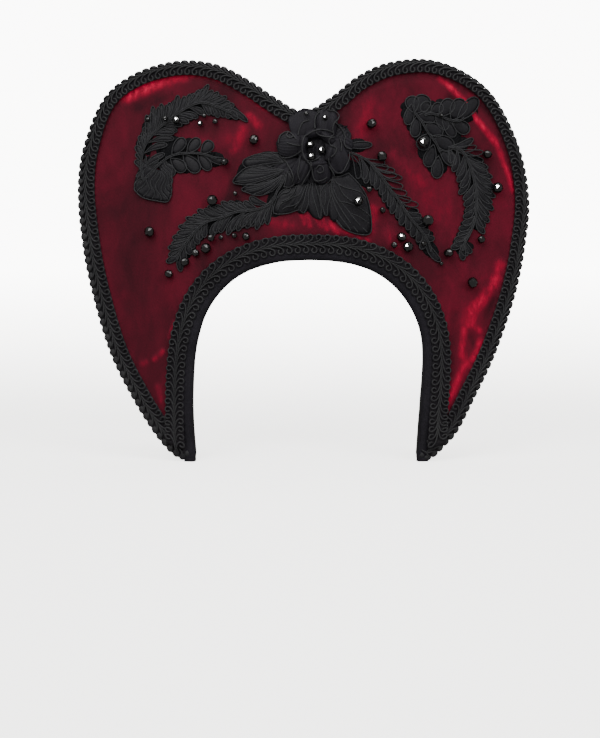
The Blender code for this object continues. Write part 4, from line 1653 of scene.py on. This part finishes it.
@dataclass
class Studio:
    """Pale paper sweep, soft lights and the camera at the photograph's angle."""

    lens_mm: float = 68.1
    sensor_mm: float = 36.0
    eye: Spot = (-2.3, -950.0, 155.0)
    aim: Spot = (-2.3, 0.0, 60.0)
    paper: str = "f4f3f1"
    paper_glow: str = "fffefc"
    # Sweep of paper: near end, far end, height of the wall above its curve, half width, and the curve
    sweep_near: float = -1600.0
    sweep_far: float = 900.0
    sweep_rise: float = 1600.0
    sweep_half: float = 1700.0
    sweep_curve: float = 700.0
    # Brightness of the paper's own back light, at the floor and above this height in metres
    floor_glow: float = 2.6
    wall_glow: float = 9.0
    glow_height: float = 0.11
    # Grains of the paper's tooth in a metre, each a little over 1 mm
    tooth: float = 900.0
    # Brightness of the light from all round
    air: float = 0.55
    # Lights: place, aim, size in metres, power in watts
    lights: tuple[tuple[Spot, Spot, float, float], ...] = (
        ((-0.9, -1.3, 1.5), (0.0, 0.0, 0.15), 1.1, 20.0),
        ((1.2, -1.1, 1.1), (0.0, 0.0, 0.15), 0.9, 16.0),
        ((0.0, -0.6, 2.0), (0.0, 0.2, 0.1), 1.4, 22.0),
        ((0.0, 0.55, 1.7), (0.0, 0.0, 0.2), 1.2, 10.0),
    )
    # A small lamp that shows only as a reflection
    spark: tuple[Spot, Spot, float, float] = ((-0.6, -1.6, 1.0), (0.0, 0.0, 0.2), 0.12, 22.0)

    def build(self) -> None:
        """Builds the sweep, the lights and the camera."""
        self.build_sweep()
        for number, (place, aim, size, power) in enumerate((*self.lights, self.spark)):
            lamp = bpy.data.lights.new(f"soft_light_{number}", "AREA")
            lamp.shape = "SQUARE"
            lamp.size = size
            lamp.energy = power
            holder = bpy.data.objects.new(lamp.name, lamp)
            holder.visible_diffuse = number < len(self.lights)
            holder.location = place
            holder.rotation_euler = (Vector(aim) - Vector(place)).to_track_quat("-Z", "Y").to_euler()
            bpy.context.scene.collection.objects.link(holder)
        world = bpy.data.worlds.new("studio_air")
        world.use_nodes = True
        background = world.node_tree.nodes["Background"]
        background.inputs["Color"].default_value = linear(self.paper)
        background.inputs["Strength"].default_value = self.air
        bpy.context.scene.world = world
        self.build_camera()

    def build_sweep(self) -> None:
        """Builds floor and backdrop as one curved sheet of paper."""
        bm = bmesh.new()
        made = bmesh.ops.create_grid(bm, x_segments=2, y_segments=60, size=0.5)["verts"]
        curve = self.sweep_curve
        flat = self.sweep_far - curve - self.sweep_near
        quarter = curve * pi / 2
        total = flat + quarter + self.sweep_rise
        for vert in made:
            run = (vert.co.y + 0.5) * total
            if run <= flat:
                y, z = self.sweep_near + run, 0.0
            elif run <= flat + quarter:
                turn = (run - flat) / curve
                y, z = self.sweep_far - curve + curve * sin(turn), curve * (1 - cos(turn))
            else:
                y, z = self.sweep_far, curve + run - flat - quarter
            vert.co = Vector((vert.co.x * 2 * self.sweep_half, y, z)) * MM
        sweep = object_of(bm, "paper_sweep")
        material, tree, shader = new_material("lit_studio_paper")
        place = add_node(tree, "ShaderNodeTexCoord", {})
        height = add_node(tree, "ShaderNodeSeparateXYZ", {}, {"Vector": place.outputs["Object"]})
        glow = add_node(
            tree, "ShaderNodeMapRange",
            {"From Max": self.glow_height, "To Min": self.floor_glow, "To Max": self.wall_glow},
            {"Value": height.outputs["Z"]},
        )
        grain = add_node(
            tree, "ShaderNodeTexNoise", {"Scale": self.tooth}, {"Vector": place.outputs["Object"]}
        )
        bump = add_node(
            tree, "ShaderNodeBump", {"Strength": 0.03, "Distance": 0.0005}, {"Height": grain.outputs["Fac"]}
        )
        tree.links.new(bump.outputs["Normal"], shader.inputs["Normal"])
        tree.links.new(glow.outputs["Result"], shader.inputs["Emission Strength"])
        shader.inputs["Emission Color"].default_value = linear(self.paper_glow)
        shader.inputs["Base Color"].default_value = linear(self.paper)
        shader.inputs["Roughness"].default_value = 0.9
        sweep.data.materials.append(material)
        sweep.visible_diffuse = False
        sweep.visible_glossy = False

    def build_camera(self) -> None:
        """Sets the camera where the photograph was taken from."""
        lens = bpy.data.cameras.new("camera")
        lens.lens = self.lens_mm
        lens.sensor_width = self.sensor_mm
        camera = bpy.data.objects.new("camera", lens)
        camera.location = Vector(self.eye) * MM
        camera.rotation_euler = (Vector(self.aim) - Vector(self.eye)).to_track_quat("-Z", "Y").to_euler()
        bpy.context.scene.collection.objects.link(camera)
        bpy.context.scene.camera = camera


# Where the lace lies, as read from the front, in millimetres

GROUPS: tuple[Spray | LeafCluster | StrapCluster, ...] = (
    Spray(
        "spray_left_top",
        stem=(
            (-107.5, 186.5), (-108.2, 195), (-107.3, 204.5), (-103.3, 212.9), (-96.5, 220.2),
            (-87.7, 227.2), (-78.3, 233.4), (-67.3, 237.3), (-56.2, 233.9), (-47.3, 230),
        ),
        tips=(
            (-112.3, 199.5), (-111.8, 209), (-109.5, 215.8), (-106.0, 221.6), (-104.5, 229.5),
            (-100.4, 235.4), (-94.5, 237), (-88.8, 237.5), (-83.3, 242.3), (-75, 243), (-69, 245.5),
            (-62.8, 249.2), (-56.2, 244), (-50.7, 240.9), (-46.0, 235.8), (-36.9, 224.6), (-96.5, 197.5),
            (-92.5, 203.5), (-86.3, 213.5), (-84.0, 218.9), (-76.1, 224.4), (-70, 227.5), (-62, 229.2),
            (-56.2, 227.3), (-49, 227.0),
        ),
        width=3.9,
    ),
    Spray(
        "spray_left_middle",
        stem=(
            (-107.0, 185.5), (-101.5, 191.0), (-94.0, 198.2), (-86.1, 202.6), (-75.5, 203.8),
            (-65.7, 202.9), (-57.3, 199.9),
        ),
        tips=((-49.9, 198.0),),
        width=4.6,
        own=(
            (-87.5, 202.8, -79.2, 213.6, 6.6), (-77.5, 203.8, -69.2, 213.3, 6.4),
            (-68.0, 203.5, -60.6, 211.2, 6.6), (-96.0, 196.8, -86.0, 189.3, 6.6),
            (-88.5, 200.3, -78.6, 192.2, 7.2), (-80.0, 203.0, -69.6, 191.4, 7.6),
            (-70.0, 203.5, -62.0, 192.6, 6.0), (-101.0, 191.3, -87.4, 184.3, 7.0),
        ),
    ),
    Spray(
        "spray_left_lower",
        stem=(
            (-12.2, 190.2), (-14.0, 183.7), (-17.7, 177.9), (-20.2, 171.6), (-27.0, 167.5), (-36.4, 165.3),
            (-44.5, 164.6), (-54, 160.9), (-65.1, 157.6), (-71.9, 151.6), (-76.4, 146.0), (-80.8, 140.1),
            (-84.3, 132.8),
        ),
        tips=(
            (-35.7, 174.3), (-43.7, 170.3), (-49.5, 171.3), (-54.6, 171.2), (-63.5, 168.4), (-70.6, 166),
            (-78.4, 160.6), (-83.2, 154.8), (-87.3, 147.5), (-90.2, 140.5), (-91.2, 131), (-24.1, 156.3),
            (-31.4, 153), (-37.9, 154.0), (-44, 152.2), (-50.6, 149.5), (-55.6, 151.0), (-61, 148.4),
            (-66.2, 147.8), (-70.4, 143.2), (-75.6, 136.4), (-82, 125.1),
        ),
        width=4.3,
        between=5.8,
    ),
    Spray(
        "spray_right_lower",
        stem=(
            (31.3, 204), (36.5, 201.9), (42.7, 198.3), (47.8, 192.7), (53.5, 185.6), (58.5, 177.5),
            (62.6, 173.3), (65.7, 168.3), (69.7, 162.1), (74.9, 156), (79.9, 149.9), (83.5, 143.8),
            (85.1, 138.1),
        ),
        tips=(
            (54, 197.2), (60.6, 191.9), (65.5, 187.0), (68.7, 176.9), (76.3, 169.2), (78.3, 161.6),
            (82, 156.0), (86.9, 146.2), (91.2, 131.5), (36.5, 186.6), (41.5, 183.5), (48.3, 179.6),
            (53.7, 171.1), (58.8, 163.5), (64.9, 155.8), (72.8, 148.2), (78.5, 139.9),
        ),
        width=4.3,
        open_tips=(0, 1, 2, 3, 4, 9),
        swept=1.5,
        own=((26.5, 208.5, 45.5, 209.2, 4.2),),
    ),
    Spray(
        "spray_right_top",
        stem=(
            (72.4, 236.0), (74.7, 229.1), (77.7, 226.2), (79.8, 222.6), (82.7, 217.5), (85.6, 213.9),
            (88.5, 209.9), (91, 204.5),
        ),
        web=1.7,
        own=(
            (72.0, 236.5, 69.0, 222.6, 5.8), (75.6, 228.5, 73.8, 214.4, 6.2),
            (75.2, 230.0, 88.2, 226.4, 6.8), (79.8, 224.0, 92.6, 216.6, 7.6),
            (85.4, 215.2, 100.2, 207.6, 8.4), (86.8, 209.5, 82.3, 194.8, 7.2),
            (91.0, 205.5, 101.6, 196.6, 6.6), (89.9, 202.0, 88.7, 187.2, 7.0),
            (73.6, 230.5, 71.4, 241.6, 8.2), (75.8, 228.8, 80.9, 242.4, 10.0),
            (84.0, 216.8, 77.2, 206.6, 8.0), (84.6, 231.0, 79.2, 237.0, 7.0),
        ),
    ),
    Spray(
        "spray_right_branch",
        stem=((80.5, 229.0), (85.3, 230.2), (91.5, 228.3), (97.5, 226.0), (103.5, 225.2), (107.5, 227.5)),
        web=1.7,
        own=(
            (90.5, 228.4, 99.4, 239.3, 8.4), (98.6, 226.0, 106.8, 239.8, 9.6),
            (102.5, 225.2, 116.6, 240.9, 8.0), (99.0, 226.0, 110.6, 218.2, 7.6),
            (92.5, 228.0, 100.9, 214.9, 5.8), (84.6, 230.4, 92.5, 236.0, 6.5),
            (88.0, 229.5, 96.0, 220.0, 6.0),
        ),
    ),
    Spray(
        "spray_right_side",
        stem=(
            (96.5, 207.6), (101.2, 207.9), (106.9, 204.1), (110.7, 196.2), (114.2, 185.3), (115.9, 173.1),
            (115.1, 161.7), (111.9, 151.5), (107.8, 144.4), (106.5, 138.5),
        ),
        tips=(
            (113.7, 213.7), (120.5, 204.8), (123.7, 194.2), (126.7, 187.8), (128.3, 181), (128.7, 174.6),
            (127.5, 166.2), (124.3, 157.8), (121.1, 150.1), (98.5, 197.5), (99.9, 191.5), (103.1, 184.7),
            (104.2, 176.5), (107.7, 168.7), (107.2, 160.7), (104.1, 153), (101.1, 145.8), (98.7, 140.3),
            (111.9, 137.0), (106.5, 132.5),
        ),
        width=4.3,
        open_tips=(1,),
        swept=1.25,
    ),
    LeafCluster("leaf_left_large", (
        FanLeaf(
            (-12.5, 197.0),
            ((-14.0, 203.5), (-24.0, 204.0), (-33.5, 202.0), (-40.0, 198.5), (-38.0, 194.0), (-28.0, 192.5)),
            ribs=5, bow=-0.05,
        ),
        FanLeaf(
            (-12.0, 192.5),
            ((-26.0, 196.0), (-38.5, 193.5), (-46.9, 184.8), (-40.0, 182.6), (-30.6, 183.0)),
            ribs=5, base=0.9, bow=0.05,
        ),
        FanLeaf(
            (-13.0, 189.5),
            ((-30.0, 184.5), (-41.0, 180.0), (-36.0, 177.0), (-28.5, 175.5), (-20.5, 178.5)),
            ribs=5, base=0.6, bow=0.08,
        ),
        FanLeaf(
            (-11.3, 191.5),
            ((-6.0, 190.0), (-5.2, 184.5), (-8.8, 181.0), (-13.0, 181.2)),
            ribs=2, base=1.2,
        ),
    )),
    LeafCluster("leaf_left_small", (
        FanLeaf(
            (-1.0, 181.0),
            ((-8.0, 181.5), (-15.0, 178.0), (-19.0, 170.0), (-19.5, 163.8), (-11.0, 163.6), (-2.0, 166.5)),
            ribs=5, bow=0.05, quilt=0.3,
            veins=(
                ((-17.0, 166.1), (-15.1, 169.9), (-11.2, 171.9), (-7.3, 174.3), (-3.5, 175.7),
                 (-1.5, 178.6), (-0.4, 182.5)),
                ((-14.1, 171.9), (-10.2, 173.3), (-6.4, 177.7), (-4.9, 181.5), (-2.5, 184.4)),
                ((-14.0, 166.4), (-11.2, 168.0), (-6.4, 169.0), (-2.5, 171.9)),
                ((-8.3, 180.6), (-10.2, 177.7), (-14.1, 176.7), (-17.0, 173.8)),
            ),
        ),
    )),
    LeafCluster("leaf_left_fan", (
        FanLeaf(
            (-97.5, 214.0),
            ((-86.6, 190.0), (-87.4, 182.0), (-89.6, 175.4), (-92.8, 171.2), (-98.6, 172.2),
             (-104.6, 173.6), (-108.0, 175.6), (-111.9, 179.4), (-112.4, 184.0), (-110.4, 190.5)),
            ribs=11, bow=0.0, wave=0.045, begin=0.5, crown=0.9, quilt=0.6,
        ),
    )),
    LeafCluster("leaf_right_large", (
        FanLeaf(
            (19.6, 187.8),
            ((29.9, 190.5), (37.6, 182.2), (41.8, 175.1), (44.4, 164.9), (44.8, 151.2),
             (38.0, 149.6), (27.5, 153.0), (20.4, 160.8), (17.4, 170.0)),
            ribs=6, bow=-0.07, quilt=0.25,
            veins=(
                ((20.5, 185.9), (22.6, 183.3), (28.4, 180.6), (34.2, 179.2), (38.8, 177.1), (41.4, 173.8)),
                ((19.7, 180.1), (22.6, 173.8), (28.4, 167.1), (33.2, 160.7), (38.0, 155.5), (42.1, 151.4)),
                ((18.7, 181.5), (19.9, 175.3), (24.5, 167.1), (29.8, 159.3), (36.1, 151.4)),
                ((17.9, 177.7), (20.6, 169.5), (24.0, 162.2), (28.4, 156.4), (31.3, 152.4)),
                ((17.3, 181.5), (17.5, 174.8), (18.7, 167.1), (20.6, 161.3), (25.5, 155.0)),
                ((24.5, 171.4), (29.3, 170.7), (36.1, 167.8), (41.9, 164.2), (44.0, 162.0)),
                ((30.8, 164.0), (36.1, 162.0), (40.9, 158.9), (43.6, 157.2)),
                ((23.1, 183.0), (25.5, 177.7), (29.8, 173.3), (34.2, 170.7)),
            ),
        ),
    )),
    StrapCluster(
        "leaf_strap",
        straps=(
            (3.8, 186.0, -2.4, 163.6, 8.6, 0.06), (-0.6, 186.0, -6.0, 167.0, 7.5, 0.05),
            (6.7, 186.5, 10.9, 159.4, 9.6, -0.06), (11.5, 186.5, 14.2, 161.8, 9.0, 0.1),
            (16.0, 187.0, 16.0, 161.8, 8.6, -0.08), (19.5, 187.0, 20.5, 158.0, 8.0, 0.04),
        ),
        seams=(
            ((3.3, 183.5), (1.7, 177.7), (0.4, 171.9), (-1.9, 165.3)),
            ((5.0, 183.6), (3.3, 176.7), (3.3, 170.7), (0.6, 164.2), (-1.9, 165.3)),
            ((6.2, 183.9), (6.0, 176.7), (8.1, 169.0), (10.4, 161.1)),
            ((7.6, 183.5), (9.7, 176.7), (11.6, 168.0), (11.4, 160.7), (10.4, 161.1)),
            ((18.7, 186.4), (13.1, 181.0), (11.2, 176.7), (12.0, 169.9), (14.3, 162.8)),
            ((18.9, 184.4), (18.3, 176.7), (16.0, 168.0), (15.6, 162.6), (14.3, 162.8)),
            ((1.8, 182.5), (-0.4, 176.7), (-2.5, 171.9), (-5.9, 167.1)),
            ((14.1, 179.6), (14.7, 173.8), (13.9, 169.0)),
        ),
    ),
)
# The rose: petals from the outermost to those round its heart
PETALS = (
    Petal((5.5, 205.0), (5.5, 231.5), 27.0, 0.4, 1.0, ribs=6),
    Petal((5.5, 212.0), (6.5, 182.5), 34.0, 0.4, 1.0, ribs=6),
    Petal((-2.0, 199.0), (-17.5, 186.5), 22.0, 0.6, 1.8, ribs=5),
    Petal((3.0, 213.0), (0.6, 232.4), 25.0, 1.6, 3.4, ribs=12, ragged=0.10, neck=0.7),
    Petal((17.5, 209.0), (28.5, 220.5), 17.0, 1.0, 2.4, ribs=6, ragged=0.14),
    Petal((14.6, 213.0), (16.0, 232.6), 16.5, 2.4, 5.4, ribs=3, neck=0.6),
    Petal((18.5, 212.5), (32.0, 205.5), 15.0, 1.4, 3.2, ribs=5),
    Petal((2.0, 208.5), (-17.8, 209.5), 18.0, 1.6, 4.4, ribs=8, neck=0.6),
    Petal((3.5, 203.0), (-5.4, 183.0), 14.5, 1.8, 5.0, ribs=4, neck=0.5),
    Petal((18.5, 213.0), (25.6, 189.6), 16.5, 2.2, 5.6, ribs=2, neck=0.5),
    Petal((11.0, 203.0), (11.8, 182.8), 15.0, 2.0, 5.2, ribs=3, neck=0.5),
    # Round the heart
    Petal((0.6, 214.6), (-1.6, 199.8), 6.4, 3.6, 6.0, ribs=1, neck=0.8),
    Petal((12.4, 217.6), (0.8, 214.8), 6.2, 3.8, 6.0, ribs=1, neck=0.8),
    Petal((19.6, 209.6), (11.0, 217.8), 6.6, 3.8, 6.2, ribs=1, neck=0.8),
    Petal((15.6, 197.8), (19.6, 210.0), 6.6, 3.8, 6.0, ribs=1, neck=0.8),
    Petal((3.4, 195.4), (16.0, 196.8), 6.2, 3.6, 5.8, ribs=1, neck=0.8),
    Petal((-1.8, 203.4), (4.6, 195.6), 5.8, 3.6, 5.6, ribs=1, neck=0.8),
)
# Cords that edge the petals, as read from the front
ROSE_CORDS = (
    ((8.2, 218.2), (6.3, 217.6), (2.3, 215.4), (0.7, 214.3), (-0.4, 211.3), (-1.0, 207.3), (-0.2, 202.6),
     (1.7, 199.0), (4.7, 198.2), (8.2, 199.3), (11.4, 201.3)),
    ((8.2, 218.2), (11.8, 219.0), (15.7, 218.4), (19.7, 216.9), (19.5, 215.2), (17.3, 214.0), (13.4, 214.4),
     (9.8, 215.6), (8.2, 217.2)),
    ((20.5, 214.0), (17.7, 213.2), (16.7, 211.3), (17.5, 208.9), (19.7, 207.7), (21.7, 206.5), (20.9, 203.4),
     (18.1, 200.8)),
    ((7.7, 219.6), (7.4, 223.9), (8.2, 227.8), (10.6, 230.6)),
    ((15.7, 231.9), (20.5, 231.2), (23.5, 228.6), (22.8, 225.9), (20.5, 223.5), (19.3, 219.9), (19.7, 217.2)),
    ((20.9, 223.7), (24.0, 221.1), (26.4, 217.6), (27.6, 214.4), (26.8, 210.5), (28.4, 207.3), (31.9, 206.1)),
    ((30.7, 204.2), (30.1, 199.4), (28.4, 195.5), (25.6, 190.9), (22.1, 190.6), (18.9, 193.7), (16.9, 197.1),
     (16.5, 200.2)),
    ((4.8, 197.7), (5.5, 193.9), (6.3, 188.4), (8.2, 185.1), (12.6, 185.6), (15.7, 187.6)),
    ((16.9, 194.7), (19.5, 190.7), (20.5, 187.2), (18.1, 183.6)),
    ((8.2, 193.1), (10.2, 195.1), (12.6, 194.3), (13.0, 191.5), (10.6, 190.3), (9.0, 191.5)),
    ((2.3, 198.2), (4.7, 195.1), (3.7, 190.7), (0.3, 185.2), (-2.0, 179.7)),
    ((-15.8, 201.8), (-12.3, 198.6), (-10.2, 195.5), (-7.6, 190.7), (-6.7, 186.4), (-9.1, 182.8),
     (-11.7, 183.6), (-12.3, 187.6), (-10.7, 190.1)),
    ((-16.6, 210.1), (-15.8, 214.4), (-13.1, 217.0), (-9.9, 217.7), (-7.2, 215.6), (-4.9, 212.8)),
    ((-9.9, 217.6), (-11.1, 215.2), (-8.9, 213.6), (-6.4, 214.7)),
    ((-19.0, 203.4), (-14.3, 200.6), (-8.7, 200.8), (-4.0, 203.0), (-1.5, 204.9)),
    ((-3.6, 215.6), (-2.3, 220.3), (-0.1, 223.9), (3.9, 225.3)),
    ((-2.0, 201.6), (-3.0, 195.5), (-3.8, 190.7), (-2.6, 185.6)),
    ((-11.1, 210.5), (-6.4, 208.9), (-2.0, 208.3)),
    ((24.0, 212.8), (25.2, 208.9), (24.7, 204.9)),
)
# Net between the fronds: foot x, z, tip x, z, width
NETS = (
    (-98.0, 205.5, -79.0, 208.5, 13.0),
    (-101.0, 196.5, -82.0, 199.5, 8.0),
    (94.0, 224.0, 99.5, 206.0, 13.0),
    (84.0, 228.0, 100.0, 226.0, 9.0),
    (26.0, 199.0, 47.0, 181.0, 8.0),
    (14.0, 194.0, 31.0, 186.0, 11.0),
    (-12.0, 186.0, -22.0, 160.0, 12.0),
    (-8.0, 197.0, -44.5, 186.0, 19.0),
    (-8.0, 190.0, -34.0, 178.0, 12.0),
    (2.0, 190.0, 0.0, 166.0, 12.0),
    (84.5, 212.0, 80.0, 199.0, 9.0),
)


def main() -> None:
    """Builds the crown's pieces in order, then the studio."""
    logging.basicConfig(level=logging.INFO, format="%(name)s: %(message)s")
    VelvetCover().build()
    HeadBand().build()
    edge = PATTERN.silhouette().offset(PATTERN.edge_inset)
    EdgeBraid("edge_braid", "outer_braid", edge, width=13.5, pitch=5.4, forward=-1).build()
    arch = Track([p for p in PATTERN.arch().points if p.y > PATTERN.braid_foot])
    ArchBraid("arch_braid", "inner_braid", arch, width=13.2, pitch=5.3, forward=1).build()
    Appliques(GROUPS, PETALS, ROSE_CORDS, NETS).build()
    Beads().build()
    Studio().build()


if __name__ == "__main__":
    main()
